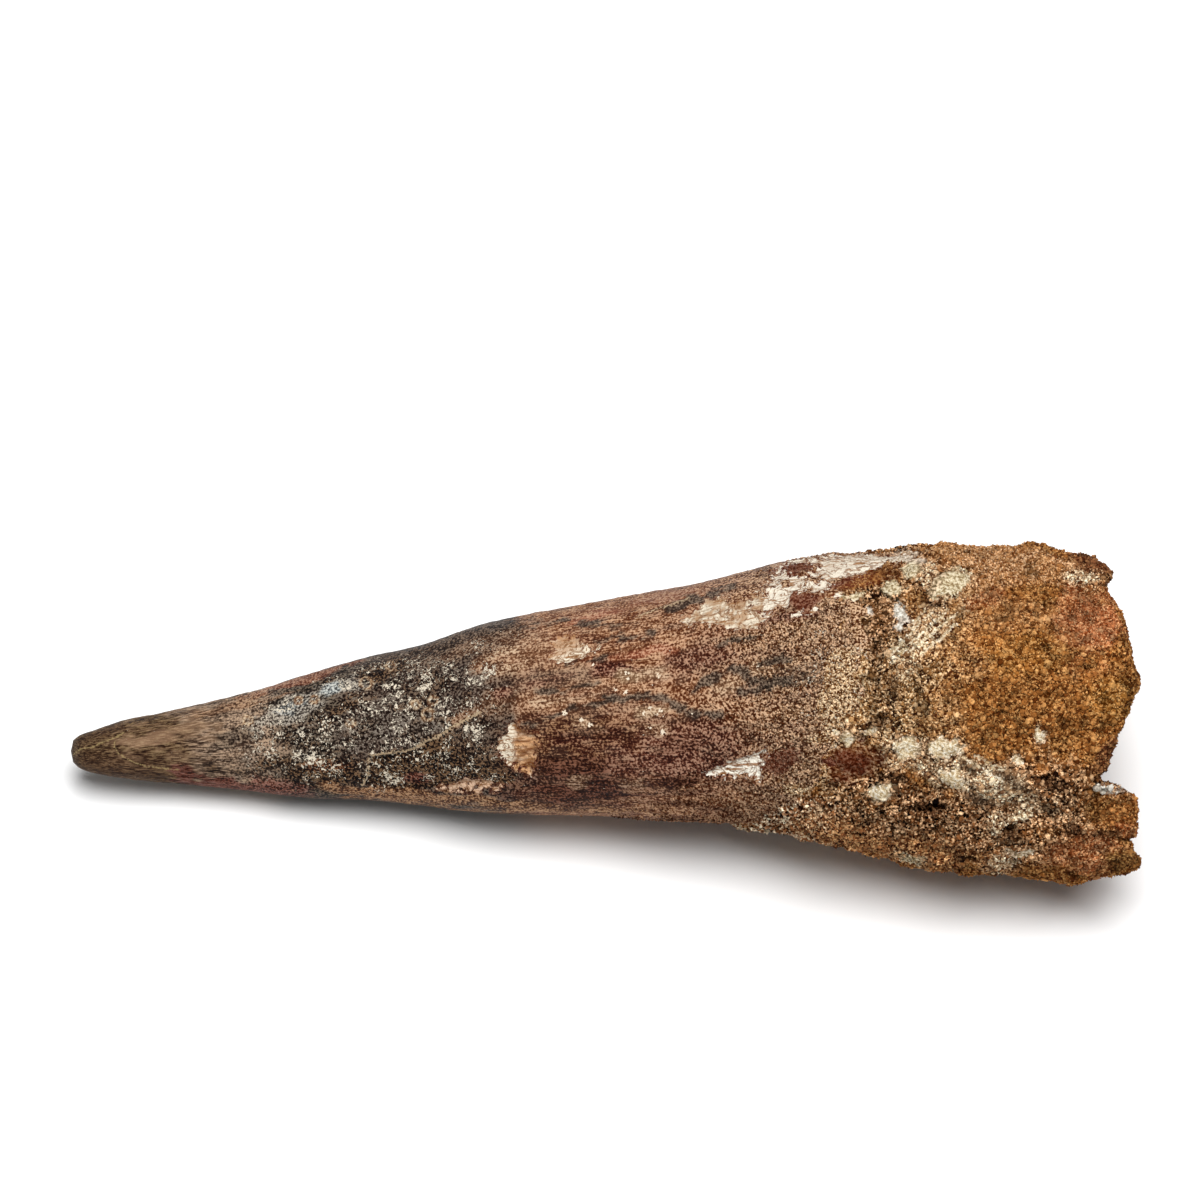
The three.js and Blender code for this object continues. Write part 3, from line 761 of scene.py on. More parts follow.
def to_line(line, along, across):
    """Distance from each point to a line of straight stretches: the least of the distances to them."""
    nearest = np.full(np.shape(along), np.inf)
    for (x0, y0), (x1, y1) in zip(line[:-1], line[1:]):
        dx, dy = x1 - x0, y1 - y0
        t = np.clip(((along - x0) * dx + (across - y0) * dy) / (dx * dx + dy * dy), 0, 1)
        nearest = np.minimum(nearest, np.hypot(along - x0 - t * dx, across - y0 - t * dy))
    return nearest


def on_lines(lines, along, across):
    """How far inside any of some lines each point is: a line's half width less the distance to it."""
    return np.max([half_width - to_line(line, along, across) for half_width, line in lines], axis=0)


def on_spots(spots, along, across):
    """How far inside any of some round spots each point is: its radius less the distance to its middle."""
    return np.max([radius - np.hypot(along - x, across - y) for x, y, radius in spots], axis=0)


def inside(outline, along, across):
    """Distance from each point to a closed outline, positive inside it, by counting edges to one side."""
    closed = [*outline, outline[0]]
    within = np.zeros(np.shape(along), bool)
    for (x0, y0), (x1, y1) in zip(closed[:-1], closed[1:]):
        if y0 != y1:
            crosses = (y0 > across) != (y1 > across)
            within ^= crosses & (along < x0 + (across - y0) * (x1 - x0) / (y1 - y0))
    return np.where(within, 1, -1) * to_line(closed, along, across)


def in_oval(along, across, middle_along, middle_across, length, width, tilt):
    """Distance to the edge of a tilted oval, positive inside: one less its reach, times its smaller half
    size."""
    c, s = np.cos(np.radians(tilt)), np.sin(np.radians(tilt))
    dx, dy = along - middle_along, across - middle_across
    reach = np.hypot((c * dx + s * dy) / length, (c * dy - s * dx) / width)
    return (1 - reach) * min(length, width)


def in_box(along, across, left, right, low, high):
    """Whether each point lies in an upright box."""
    return (along > left) & (along < right) & (across > low) & (across < high)


def seen(along, across, outward):
    """Where the camera sees a point in the plane that it is aimed at: its distances from the aim, drawn out
    by how much nearer than that plane it is to the camera."""
    nearer = CAMERA_DISTANCE / (CAMERA_DISTANCE - (outward - AIM[2]))
    return AIM[0] + (along - AIM[0]) * nearer, AIM[1] + (across - AIM[1]) * nearer


def place(along, across, outward):
    """Points of the display face's frame in the object's frame, none lower than the resting plane."""
    sin, cos = np.sin(FACE_TILT), np.cos(FACE_TILT)
    x = along - ORIGIN["along"]
    y = across * sin - outward * cos - ORIGIN["sideways"]
    z = np.maximum(across * cos + outward * sin, 0)
    return np.stack(np.broadcast_arrays(x, y, z), -1)


def lay(tones, palette, layers):
    """Moves the three tones at each point towards those of each layer in turn, by its share at the point."""
    for name, share in layers:
        goal = np.array([linear(code) for code in palette[name]])
        tones = tones + share[..., None, None] * (goal - tones)
    return tones


# ---------------------------------------------------------------- helpers for pieces and materials


def make_piece(name, points, faces, material, colours, numbers=(), vectors=()):
    """A mesh piece that rides on the object, with its paint as attributes at its points."""
    mesh = bpy.data.meshes.new(name)
    mesh.from_pydata((points * MM).tolist(), [], [face for group in faces for face in group.tolist()])
    for key, values in dict(colours).items():
        rgba = np.concatenate([values, np.ones((len(values), 1))], axis=1)
        mesh.attributes.new(key, "FLOAT_COLOR", "POINT").data.foreach_set("color", rgba.ravel())
    for key, values in dict(numbers).items():
        mesh.attributes.new(key, "FLOAT", "POINT").data.foreach_set("value", values.ravel())
    for key, values in dict(vectors).items():
        mesh.attributes.new(key, "FLOAT_VECTOR", "POINT").data.foreach_set("vector", values.ravel())
    mesh.shade_smooth()
    mesh.materials.append(material)
    made = bpy.data.objects.new(name, mesh)
    bpy.context.scene.collection.objects.link(made)
    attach(made, "root")
    return made


def closed_grid(first, rings, last):
    """Points and faces of a closed surface: a point, rings of points and a point, with fans and quads
    between them."""
    rows, columns = rings.shape[:2]
    points = np.concatenate([first[None], rings.reshape(-1, 3), last[None]])
    here = 1 + np.arange(rows * columns).reshape(rows, columns)
    beside = np.roll(here, -1, axis=1)
    quads = np.stack([here[:-1], here[1:], beside[1:], beside[:-1]], -1).reshape(-1, 4)
    front = np.stack([np.zeros(columns, int), here[0], beside[0]], -1)
    back = np.stack([np.full(columns, len(points) - 1), beside[-1], here[-1]], -1)
    return points, (front, quads, back)


def with_ends(values):
    """Values on rings as values on points, the two end points taking those of the rings beside them."""
    flat = values.reshape(-1, *values.shape[2:])
    return np.concatenate([flat[:1], flat, flat[-1:]])


def new_material(name):
    """A material without nodes, and its node tree."""
    material = bpy.data.materials.new(name)
    material.use_nodes = True
    material.node_tree.nodes.clear()
    return material, material.node_tree


def add(tree, kind, inputs=(), out=0, **settings):
    """Adds a shader node with its settings and its inputs' values or links, and gives back an output."""
    made = tree.nodes.new("ShaderNode" + kind)
    for key, value in settings.items():
        setattr(made, key, value)
    for key, value in dict(inputs).items():
        if isinstance(value, bpy.types.NodeSocket):
            tree.links.new(value, made.inputs[key])
        else:
            made.inputs[key].default_value = value
    return made.outputs[out] if len(made.outputs) else None


def shade(code):
    """A tone as a shader node takes it: linear red, green, blue and an alpha of 1."""
    return (*linear(code), 1)


# ---------------------------------------------------------------- tooth


def axis(along):
    """The tooth's axis: the middle of its outline, half its width, and how far outward its lift puts it."""
    upper, lower = curve(TOOTH_OUTLINE, 1, along), curve(TOOTH_OUTLINE, 2, along)
    across, half = (upper + lower) / 2, (upper - lower) / 2
    sin, cos = np.sin(FACE_TILT), np.cos(FACE_TILT)
    height = half * np.hypot(cos, sin * TOOTH_DEPTH_RATIO) + curve(TOOTH_LIFT, 1, along)
    return across, half, (height - across * cos) / sin


def on_axis(along):
    """The point of the tooth's axis at a distance from the tip, in the object's frame."""
    across, _, outward = axis(along)
    return place(along, across, outward)


def tooth_rings():
    """Distances of the rings from the tip: close over the worn tip, even where the tooth shows, wide inside
    the stone."""
    tip = [0, 0.12, 0.28, 0.48, 0.72]
    shown = np.arange(tip[-1] + TOOTH_RING_STEP, TOOTH_SEEN_TO, TOOTH_RING_STEP)
    buried = np.arange(TOOTH_SEEN_TO, ROOT_END, TOOTH_BURIED_STEP)
    return np.concatenate([tip, shown, buried, [ROOT_END]])


def tooth_columns():
    """Angles of the columns: t turns less the sine of t turns, which brings them closer on the display
    face."""
    t = np.arange(TOOTH_COLUMNS) / TOOTH_COLUMNS
    return np.radians(360 * t - 180) + DISPLAY_FINER * np.sin(2 * np.pi * t)


def flaked_depth(points, along, across, front, turn, half):
    """How far inside the flakes each point is, and how deep it has sunk: outlines roughened by a cloud."""
    rough = 0.22 * cloud(points, 0.9, 3)
    away = HIDDEN * (1 - front)
    signed, depth = np.full(along.shape, OUTSIDE), np.zeros(along.shape)
    for deep, outline in FLAKES.values():
        here = inside(outline, along, across) + rough - away
        signed = np.maximum(signed, here)
        depth = np.maximum(depth, deep * smoothstep(here, -0.12, 0.2))
    for outline in ISLANDS:
        island = inside(outline, along, across) + 0.5 * rough - away
        signed = np.minimum(signed, -island)
        depth = depth * (1 - smoothstep(island, -0.2, 0.1))
    for middle, degrees, length, width, tilt, deep in BACK_FLAKES:
        arc = (turn - np.radians(degrees)) * half
        here = in_oval(along, arc, middle, 0, length, width, tilt) + 2.2 * rough
        signed = np.maximum(signed, here)
        depth = np.maximum(depth, deep * smoothstep(here, -0.12, 0.2))
    return signed, depth


def skin_layers(points, growth, along, across, front, drift):
    """The tones laid on the tooth's skin, from the lowest, each with its share at each point."""
    wander = 2.2 * drift + 5 * (1 - front) * cloud(points, 9, 15)
    away = -OUTSIDE * (1 - front)
    yield "worn tip", np.ones(along.shape)
    for start, run, name in TOOTH_STRETCHES:
        yield name, smoothstep(along + wander, start - run, start + run)
    for name, *oval, strength in TOOTH_GROUNDS:
        here = front * in_oval(along, across, *oval) - away + 0.9 * drift
        yield name, strength * smoothstep(here, -1.0, 1.3)
    for name, long, wide, seed, first, last, share, fades in TOOTH_MOTTLES:
        within = smoothstep(along + drift, first - 2, first + 2)
        within = within * (1 - smoothstep(along + 2 * drift, last - 3, last + 3))
        within = within * (1 - front * (1 - smoothstep(across, *fades)))
        yield name, share * within * smoothstep(cloud(growth, (long, wide, wide), seed), 0.1, 0.5)
    ragged = 0.5 * cloud(points, *RAGGED_EDGES)
    for name, *oval, strength in TOOTH_PATCHES:
        here = front * in_oval(along, across, *oval) - away + ragged
        yield name, strength * smoothstep(here, -0.25, 0.35)
    frayed = 0.3 * cloud(points, (1.2, 0.6, 0.6), 9)
    for half_width, line in DARK_BANDS:
        here = half_width - to_line(line, along, across) + 1.5 * frayed
        yield "dark band", 0.9 * front * smoothstep(here, -0.2, 0.25)
    sunk = front * smoothstep(inside(RECESS, along, across) + frayed, -0.1, 0.2)
    shallow = smoothstep(along + 1.6 * across, *RECESS_FADES)
    yield "black flake", 0.95 * sunk * (1 - 0.8 * shallow)
    here = in_oval(along, across, *RUST_BLOB) + frayed
    yield "rust rim", 0.8 * front * smoothstep(here, -0.2, 0.4)
    for x, y, radius in RINGS:
        here = RING_WIDTH - np.abs(np.hypot(along - x, across - y) - radius) + 0.4 * frayed
        yield "ring", 0.9 * front * smoothstep(here, -0.1, 0.12)


def dentine_tone(points, along, across, drift):
    """Bare dentine's tone at each point: cream, blotched yellow under the pale band, and rusty in the two
    flakes of the crown, where the lower one is striped."""
    near = {name: in_box(along, across, *box) for name, box in DENTINE_BOXES.items()}
    yellow = 0.75 * near["yellowed"] * smoothstep(cloud(points, 0.8, 12), -0.3, 0.5)
    rusty = 1.1 * near["window"] * smoothstep(along + 0.6 * drift, 53.4, 54.4)
    rusty = np.maximum(rusty, 0.8 * near["upper"] * smoothstep(across - 0.4 * (along - 58), 10.6, 12.2))
    rusty = np.clip(rusty * (0.9 + 0.4 * cloud(points, (2.0, 0.5, 0.5), 14)), 0, 1)
    striped = near["window"] * smoothstep(cloud(points, (3.0, 0.42, 0.42), 16), -0.1, 0.3)
    tone = linear("ecdfc8") + np.zeros((*along.shape, 3))
    for share, code in (
        (yellow, "a8784a"),
        (rusty * near["window"], "d8a678"),
        (rusty * ~near["window"], "b07c50"),
        (rusty * striped, "6a3614"),
        (near["band"], "f2e7d4"),
        # The lower triangle's dentine is the lightest: partly its own cream, partly painted light against
        # the shade on the tooth's lower side.
        (near["triangle"], "fff8e8"),
        (0.7 * near["sliver"], "d3a584"),
    ):
        tone += share[..., None] * (linear(code) - tone)
    return tone


def fleck_density(points, along, across):
    """How thickly pale flecks lie: as in the densest of the ragged patches that reach each point."""
    ragged = 0.6 * cloud(points, *RAGGED_EDGES)
    patches = [
        strength * smoothstep(in_oval(along, across, *oval) + ragged, -0.8, 1.0)
        for *oval, strength in FLECK_PATCHES
    ]
    return np.max(patches, axis=0)


def streak_share(along, drift):
    """How much of the mottling is drawn out along the growth lines: little on the crown past its tip."""
    share = 0.85 - 0.7 * smoothstep(along + drift, 14, 24) + 0.25 * smoothstep(along + drift, 52, 58)
    return np.clip(share - 0.45 * smoothstep(along + 2 * drift, 70, 80), 0, 1)


def sand_on_root(points, along, across, front, behind, flaked):
    """How thickly sand sticks to the tooth: more towards the stone, none where it is flaked, smooth or
    buried."""
    sandy = smoothstep(-flaked, 0.1, 0.5) * (behind < 1.5)
    sandy = sandy * smoothstep(behind + 4 * cloud(points, 3.2, 41), -17, 2)
    for oval in SMOOTH_ROOT:
        smooth = smoothstep(in_oval(along, across, *oval) + 0.3 * cloud(points, 0.9, 42), -0.3, 0.2)
        sandy = sandy * (1 - front * smooth)
    return sandy


def tooth_surface():
    """Each point is the solid's section at its ring and angle, moved in or out by the flakes and by the fine
    unevenness of the skin: lengthwise ridges that meet at the tip, pits, and grit towards the stone."""
    along, turn = np.meshgrid(tooth_rings(), tooth_columns(), indexing="ij")
    s, c = np.sin(turn), np.cos(turn)
    middle, half, outward = axis(along)
    depth = half * TOOTH_DEPTH_RATIO
    uneven = swells(TOOTH_SWELLS, along, half * s, depth * c) * smoothstep(along, 1, 9)
    points = np.stack([along, half * s, depth * c], -1)
    round_by = np.sqrt(GROWTH_RADIUS * half)
    growth = np.stack([along, round_by * s, round_by * c], -1)
    front = smoothstep(c, -0.25, 0.05)
    behind = along - curve(STONE_FRONT, 1, np.degrees(turn))
    x, y = seen(along, middle + (half + uneven) * s, outward + (depth + uneven) * c)
    drift = cloud(points, 3.2, 5)

    # Fields on the skin: how far inside its marks each point is, and how thickly its finishes lie there.
    flaked, sunk = flaked_depth(points, x, y, front, turn, half)
    marks = {
        "cracked": on_lines([GOLD_CRACK, PALE_CRACK], x, y),
        "split": on_lines([(CRACK_WIDTH, line) for line in DARK_CRACKS], x, y),
        "ridged": on_lines(RIDGES, x, y),
        "spotted": on_spots(SPOTS, x, y),
    }
    fields = {key: np.maximum(OUTSIDE, mark - HIDDEN * (1 - front)) for key, mark in marks.items()}
    fields["flaked"] = flaked
    fields["flecks"] = fleck_density(points, x, y)
    fields["streaks"] = streak_share(x, drift)
    fields["crust"] = smoothstep(behind + 2.5 * drift, -13, -4)

    ridges = 0.05 * cloud(growth, (9, 0.8, 0.8), 1) * smoothstep(along, 2, 14)
    skin = 0.035 * cloud(points, 0.7, 2) + 0.05 * cloud(points, 2.1, 6)
    gritty = fields["crust"] * (0.12 * cloud(points, 0.9, 7) + 0.08)
    fine = (ridges * fields["streaks"] + skin + gritty) * smoothstep(along, 0, 4)
    recess = front * smoothstep(inside(RECESS, x, y) + 0.15 * cloud(points, 0.8, 4), -0.1, 0.25)
    ledge = RIDGE_HEIGHT * smoothstep(fields["ridged"], -0.15, 0.1)
    relief = uneven + fine - sunk - RECESS_DEPTH * recess + ledge
    rings = np.stack([along, middle + (half + relief) * s, outward + (depth + relief) * c], -1)

    layers = skin_layers(points, growth, x, y, front, drift)
    tones = lay(np.zeros((*along.shape, 3, 3)), TOOTH_TONES, layers)
    sandy = sand_on_root(points, x, y, front, behind, flaked)
    return rings, growth, tones, dentine_tone(points, x, y, drift), fields, sandy


def make_tooth():
    rings, growth, tones, bare, fields, sandy = tooth_surface()
    points, faces = closed_grid(on_axis(-TIP_BULGE), place(*np.moveaxis(rings, -1, 0)), on_axis(ROOT_END))
    paint = dict(zip(("dark", "middle", "light"), np.moveaxis(tones, -2, 0))) | {"bare": bare}
    tooth = make_piece(
        "fossil_tooth",
        points,
        faces,
        fossil_dentine(),
        {key: with_ends(values) for key, values in paint.items()},
        {key: with_ends(values) for key, values in fields.items()},
        {"growth": with_ends(growth)},
    )
    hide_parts("tooth")
    return rings, sandy, tones


# ---------------------------------------------------------------- sandstone


def stone_end(across, outward):
    """How far along the broken end lies: between its front line and its back line, with lumps."""
    size, start = END_SWELL["size"], END_SWELL["from"]
    fallen = 1 - smoothstep(outward, *STONE_END_TURN)
    face = curve(STONE_END, 1, across) * (1 - fallen) + curve(STONE_END, 2, across) * fallen
    lump = swell(start[0] + across / size, start[1] + outward / size, start[2])
    return face + END_SWELL["height"] * (lump - 1) / 2


def stone_behind(along, turn):
    """Distance behind the stone's front edge, which wanders, and more finely than the solid's does."""
    wander = 0.7 * swell(along / 2.6, 9 * np.sin(turn), 9 * np.cos(turn))
    wander += 0.7 * swell(along / 0.9, 26 * np.sin(turn), 26 * np.cos(turn))
    return along - curve(STONE_FRONT, 1, np.degrees(turn)) + wander


def stone_section(along, turn):
    """A section of the stone: quarter ellipses round the tooth's axis, thin at the front edge and dipping
    under the tooth's skin in front of it."""
    middle, half, outward = axis(along)
    s, c = np.sin(turn), np.cos(turn)
    behind = stone_behind(along, turn)
    step = curve(STONE_FRONT, 2, np.degrees(turn))
    risen = smoothstep(behind, -STONE_DIP["run"], STONE_LIP_RUN)
    lip = (STONE_DIP["depth"] + step) * risen - STONE_DIP["depth"]
    grown = smoothstep(behind, 0, STONE_THICKENS)
    upper, lower = curve(STONE_OUTLINE, 1, along) - middle, middle - curve(STONE_OUTLINE, 2, along)
    full_across = np.where(s > 0, upper, lower)
    full_outward = np.where(c > 0, curve(STONE_DEPTH, 1, along), curve(STONE_DEPTH, 2, along))
    wide, deep = half, half * TOOTH_DEPTH_RATIO
    wide = wide + lip + np.maximum(0, full_across - wide - step) * grown
    deep = deep + lip + np.maximum(0, full_outward - deep - step) * grown
    lumps = swells(STONE_SWELLS, along, wide * s, deep * c) * smoothstep(behind, -1, 4)
    return middle + (wide + lumps) * s, outward + (deep + lumps) * c


def stone_rings():
    """Rings over the stone's side, from under the tooth's skin to the corner of its broken end, and on over
    that end to its middle."""
    turn = 2 * np.pi * np.arange(STONE_COLUMNS) / STONE_COLUMNS - np.pi
    corner = np.full(STONE_COLUMNS, float(STONE_END[0][1]))
    for _ in range(CORNER_PASSES):
        corner = stone_end(*stone_section(corner, turn)) - STONE_CORNER["worn"]
    start = curve(STONE_FRONT, 1, np.degrees(turn)) - STONE_DIP["run"] - 1
    share = np.linspace(0, 1, STONE_SIDE_RINGS + 1)[:, None]
    along = start + (corner - start) * share
    side = np.stack([along, *stone_section(along, np.broadcast_to(turn, along.shape))], -1)

    middle, _, outward = axis(ROOT_END)
    centre = np.array([middle, outward])
    share = 1 - (np.arange(STONE_END_RINGS) + FIRST_END_RING) / (STONE_END_RINGS + FIRST_END_RING)
    section = centre + (side[-1, :, 1:] - centre) * share[:, None, None]
    reached = stone_end(section[..., 0], section[..., 1])
    reached = reached - STONE_CORNER["worn"] * share[:, None] ** STONE_CORNER["power"]
    end = np.concatenate([reached[..., None], section], -1)
    return np.concatenate([side, end])


def outward_normals(rings):
    """Unit normals of a grid of rings: the cross product of its two slopes."""
    round_slope = np.roll(rings, -1, axis=1) - np.roll(rings, 1, axis=1)
    normal = np.cross(np.gradient(rings, axis=0), round_slope)
    return normal / np.maximum(np.linalg.norm(normal, axis=-1, keepdims=True), 1e-9)


def packed_grains(points, size, seed):
    """Domes of packed grains, 0 to 1: a jittered lattice of centres, each dome falling with the square of
    the distance to the nearest centre."""
    scaled = points / size + 13.7 * seed
    cell = np.floor(scaled)
    nearest = np.full(scaled.shape[:-1], 9.0)
    for step in itertools.product((-1, 0, 1), repeat=3):
        corner = cell + step
        shift = [swell(*np.moveaxis(corner * 7.77 + 0.5 + 19.1 * k, -1, 0)) for k in range(3)]
        centre = corner + 0.5 + 0.8 * np.stack(shift, -1)
        nearest = np.minimum(nearest, np.sum((scaled - centre) ** 2, axis=-1))
    return np.clip(1 - nearest / 0.7, 0, 1)


def stone_front(along, outward):
    """1 on the stone's front half, 0 on its back half, by how far outward of the axis a point lies."""
    return smoothstep(outward - axis(along)[2], -2, 1.5)


def stone_tones(points, along, across, front):
    """Dark, middle and light tone of the stone, the share of chalky crust and how bare of grains it is."""
    ragged = 0.9 * cloud(points, 3.6, 21, 5)
    layers = [("golden", np.ones(along.shape))]
    for name, *oval, strength in STONE_PATCHES:
        blend = min(oval[2], oval[3]) / 2.5
        here = in_oval(along, across, *oval) + 1.2 * ragged * blend
        layers.append((name, strength * smoothstep(here, -blend, blend)))
    tones = lay(np.zeros((*along.shape, 3, 3)), STONE_TONES, layers)

    # Painted light and shade: tones lighter on the lumps and darker in the pits that the body's relief
    # raises and sinks, darkest in their crevices; a wider cloud adds uneven tone of the stone's own.
    lumps, pits = cloud(points, *STONE_LUMPS), cloud(points, *STONE_PITS)
    uneven = 0.1 * cloud(points, 4.5, 22) + 0.18 * lumps + 0.16 * pits
    painted_crevice_shade = smoothstep(-pits, 0.35, 0.9) + 0.6 * smoothstep(-lumps, 0.5, 1.0)
    tones = tones * ((1 + uneven) * (1 - 0.4 * np.minimum(painted_crevice_shade, 1)))[..., None, None]

    layers = []
    crusted = np.zeros(along.shape)
    for line in SCRATCHES:
        here = SCRATCH_WIDTH - to_line(line, along, across) + 0.06 * ragged
        here = front * smoothstep(here, -0.06, 0.06)
        layers.append(("cream", 0.8 * here))
        crusted = np.maximum(crusted, 0.95 * here)
    crumbled = 0.45 * cloud(points, 0.9, 24)
    for name, *oval, _ in CRUSTS:
        near = in_oval(along, across, *oval) + crumbled
        here = front * smoothstep(near, -0.2, 0.3)
        layers.append(("shaded", 0.5 * front * smoothstep(near, -0.9, -0.3)))
        layers.append((name, 0.95 * here))
        crusted = np.maximum(crusted, here * (name != "pale"))
    layers.append(("chalk", smoothstep(cloud(points, 3.1, 25), 0.75, 1.0) * (1 - front)))
    smooth = [smoothstep(in_oval(along, across, *oval) + crumbled, -0.3, 0.3) for oval in SMOOTH_STONE]
    return lay(tones, STONE_TONES, layers), crusted, front * np.max(smooth, axis=0)


def loose_hollows(points):
    """Small round hollows strewn over the stone: depth falls with the square of the distance to each."""
    depth = np.zeros(points.shape[:-1])
    rows, columns = points.shape[:2]
    for _ in range(LOOSE_HOLLOWS):
        centre = points[rng.integers(12, rows), rng.integers(columns)]
        size = rng.uniform(*LOOSE_HOLLOW_SIZE)
        reach = np.linalg.norm(points - centre, axis=-1) / size
        depth = np.maximum(depth, 0.9 * size * np.clip(1 - reach**2, 0, 1))
    return depth


def make_sandstone():
    """The stone's body is the solid's form with packed grains, crusts and hollows raised along its
    normals."""
    points = stone_rings()
    normals = outward_normals(points)
    along, across, outward = np.moveaxis(points, -1, 0)
    front = stone_front(along, outward)
    x, y = seen(along, across, outward)
    tones, crusted, smooth = stone_tones(points, x, y, front)

    body = smoothstep(np.arange(len(points))[:, None], 4, 24)
    domes = packed_grains(points, DOME["size"], 1)
    relief = DOME["height"] * domes * (1 - 0.7 * crusted) + 0.32 * cloud(points, *STONE_LUMPS)
    relief += 0.15 * cloud(points, *STONE_PITS)
    for _, *oval, height in CRUSTS:
        relief += height * front * smoothstep(in_oval(x, y, *oval), -0.2, 0.5)
    hollow = loose_hollows(points)
    for middle_along, middle_across, length, width, deep in HOLLOWS:
        here = in_oval(x, y, middle_along, middle_across, length, width, 0) / min(length, width)
        hollow = np.maximum(hollow, deep * front * smoothstep(here, -0.2, 0.7))
    relief = relief * (1 - 0.7 * smooth) - DOME["height"] - GRAIN_ROOM - hollow
    rings = points + normals * (relief * body)[..., None]

    # Painted shade: the cement darker between the domes of packed grains and in the hollows, lighter on the
    # domes; crusts and smooth patches keep their own tones.
    shadow = np.clip(0.7 * domes + 0.4 - 1.1 * hollow, 0.08, 1) * (1 - crusted) + crusted
    base = tones * (0.5 + 0.65 * shadow)[..., None, None]
    base = np.where(np.maximum(crusted, smooth)[..., None, None] > 0.5, tones, base)
    last = place(*rings[-1].mean(axis=0))
    mesh_points, faces = closed_grid(on_axis(STONE_START), place(*np.moveaxis(rings, -1, 0)), last)
    paint = dict(zip(("dark", "middle", "light"), np.moveaxis(base, -2, 0)))
    stone = make_piece(
        "sandstone_body",
        mesh_points,
        faces,
        sandstone_cement(),
        {key: with_ends(values) for key, values in paint.items()},
    )
    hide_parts("sandstone_matrix")
    density = body * (1 - 0.97 * crusted) * (1 - 0.9 * smooth) * (1 - smoothstep(hollow, 0.15, 0.4))
    return rings, density


# ---------------------------------------------------------------- sand grains

GOLDEN = (1 + 5**0.5) / 2
BALL_CORNERS = np.array(
    [(-1, GOLDEN, 0), (1, GOLDEN, 0), (-1, -GOLDEN, 0), (1, -GOLDEN, 0)]
    + [(0, -1, GOLDEN), (0, 1, GOLDEN), (0, -1, -GOLDEN), (0, 1, -GOLDEN)]
    + [(GOLDEN, 0, -1), (GOLDEN, 0, 1), (-GOLDEN, 0, -1), (-GOLDEN, 0, 1)]
) / np.hypot(1, GOLDEN)
BALL_SIDES = np.array(
    [(0, 11, 5), (0, 5, 1), (0, 1, 7), (0, 7, 10), (0, 10, 11), (1, 5, 9), (5, 11, 4), (11, 10, 2)]
    + [(10, 7, 6), (7, 1, 8), (3, 9, 4), (3, 4, 2), (3, 2, 6), (3, 6, 8), (3, 8, 9), (4, 9, 5)]
    + [(2, 4, 11), (6, 2, 10), (8, 6, 7), (9, 8, 1)]
)
BALL = (BALL_CORNERS, BALL_SIDES)
CRYSTAL = (
    0.8 * np.array([(1, 1, 1), (1, -1, -1), (-1, 1, -1), (-1, -1, 1)]),
    np.array([(0, 1, 2), (0, 3, 1), (0, 2, 3), (1, 3, 2)]),
)


def scatter(rings, density, count):
    """Random places on a grid of rings, each patch drawn by its area times its density, with their normals
    and the rows and columns of their patches."""
    slopes = np.gradient(rings, axis=0), np.roll(rings, -1, axis=1) - rings
    weight = (np.linalg.norm(np.cross(*slopes), axis=-1) * density).ravel()
    cells = rng.choice(weight.size, count, p=weight / weight.sum())
    row, column = np.unravel_index(cells, density.shape)
    over = np.minimum(row + 1, len(rings) - 1)
    beside = (column + 1) % rings.shape[1]
    u, v = rng.random((2, count, 1))
    spots = (rings[row, column] * (1 - u) + rings[over, column] * u) * (1 - v)
    spots += (rings[row, beside] * (1 - u) + rings[over, beside] * u) * v
    return spots, outward_normals(rings)[row, column], (row, column)


def random_turns(count):
    """Random rotation matrices, from random unit quaternions."""
    q = rng.normal(size=(count, 4))
    w, x, y, z = (q / np.linalg.norm(q, axis=1, keepdims=True)).T
    rows = [
        [1 - 2 * (y * y + z * z), 2 * (x * y - z * w), 2 * (x * z + y * w)],
        [2 * (x * y + z * w), 1 - 2 * (x * x + z * z), 2 * (y * z - x * w)],
        [2 * (x * z - y * w), 2 * (y * z + x * w), 1 - 2 * (x * x + y * y)],
    ]
    return np.moveaxis(np.array(rows), -1, 0)


def make_grains(name, kind, solid, spots, normals, tones, contrast):
    """Each grain is a small solid with jittered corners, squeezed to three unequal widths, turned at random
    and sunk part-way into the surface. Its own tone lies between the tones of its place, with painted shade
    towards the surface and painted light where it stands proud."""
    count = len(spots)
    corners, sides = solid
    widths = rng.uniform(*kind["radius"], (count, 1)) * rng.uniform(0.7, 1.25, (count, 3))
    jittered = corners * rng.uniform(0.8, 1.16, (count, len(corners), 1))
    shape = np.einsum("nij,nkj->nki", random_turns(count), jittered * widths[:, None, :])
    size = widths.mean(axis=1)
    raised = rng.uniform(*kind["raised"], count)
    centres = spots + normals * (size * raised)[:, None]
    tone = np.clip(rng.normal(0.5, contrast, count), 0, 1)
    shares = [np.clip(1 - 2 * tone, 0, 1), 1 - np.abs(2 * tone - 1), np.clip(2 * tone - 1, 0, 1)]
    colour = np.einsum("ns,nsc->nc", np.stack(shares, -1), tones)
    # Painted shade and light: each grain darker where it sinks towards the surface and lighter where it
    # stands proud.
    proud = np.einsum("nki,ni->nk", shape, normals) / size[:, None] + raised[:, None]
    lit = 0.75 + 0.42 * smoothstep(proud, -0.2, 0.8)
    painted = (colour[:, None, :] * lit[..., None]).reshape(-1, 3)
    points = place(*(centres[:, None, :] + shape).reshape(-1, 3).T)
    faces = (sides + len(corners) * np.arange(count)[:, None, None]).reshape(-1, 3)
    make_piece(name, points, (faces,), quartz_sand(), {"stain_and_painted_shade": painted})


def tones_on_stone(spots):
    """The three tones of the stone at places on its surface."""
    along, across, outward = spots.T
    return stone_tones(spots, *seen(along, across, outward), stone_front(along, outward))[0]


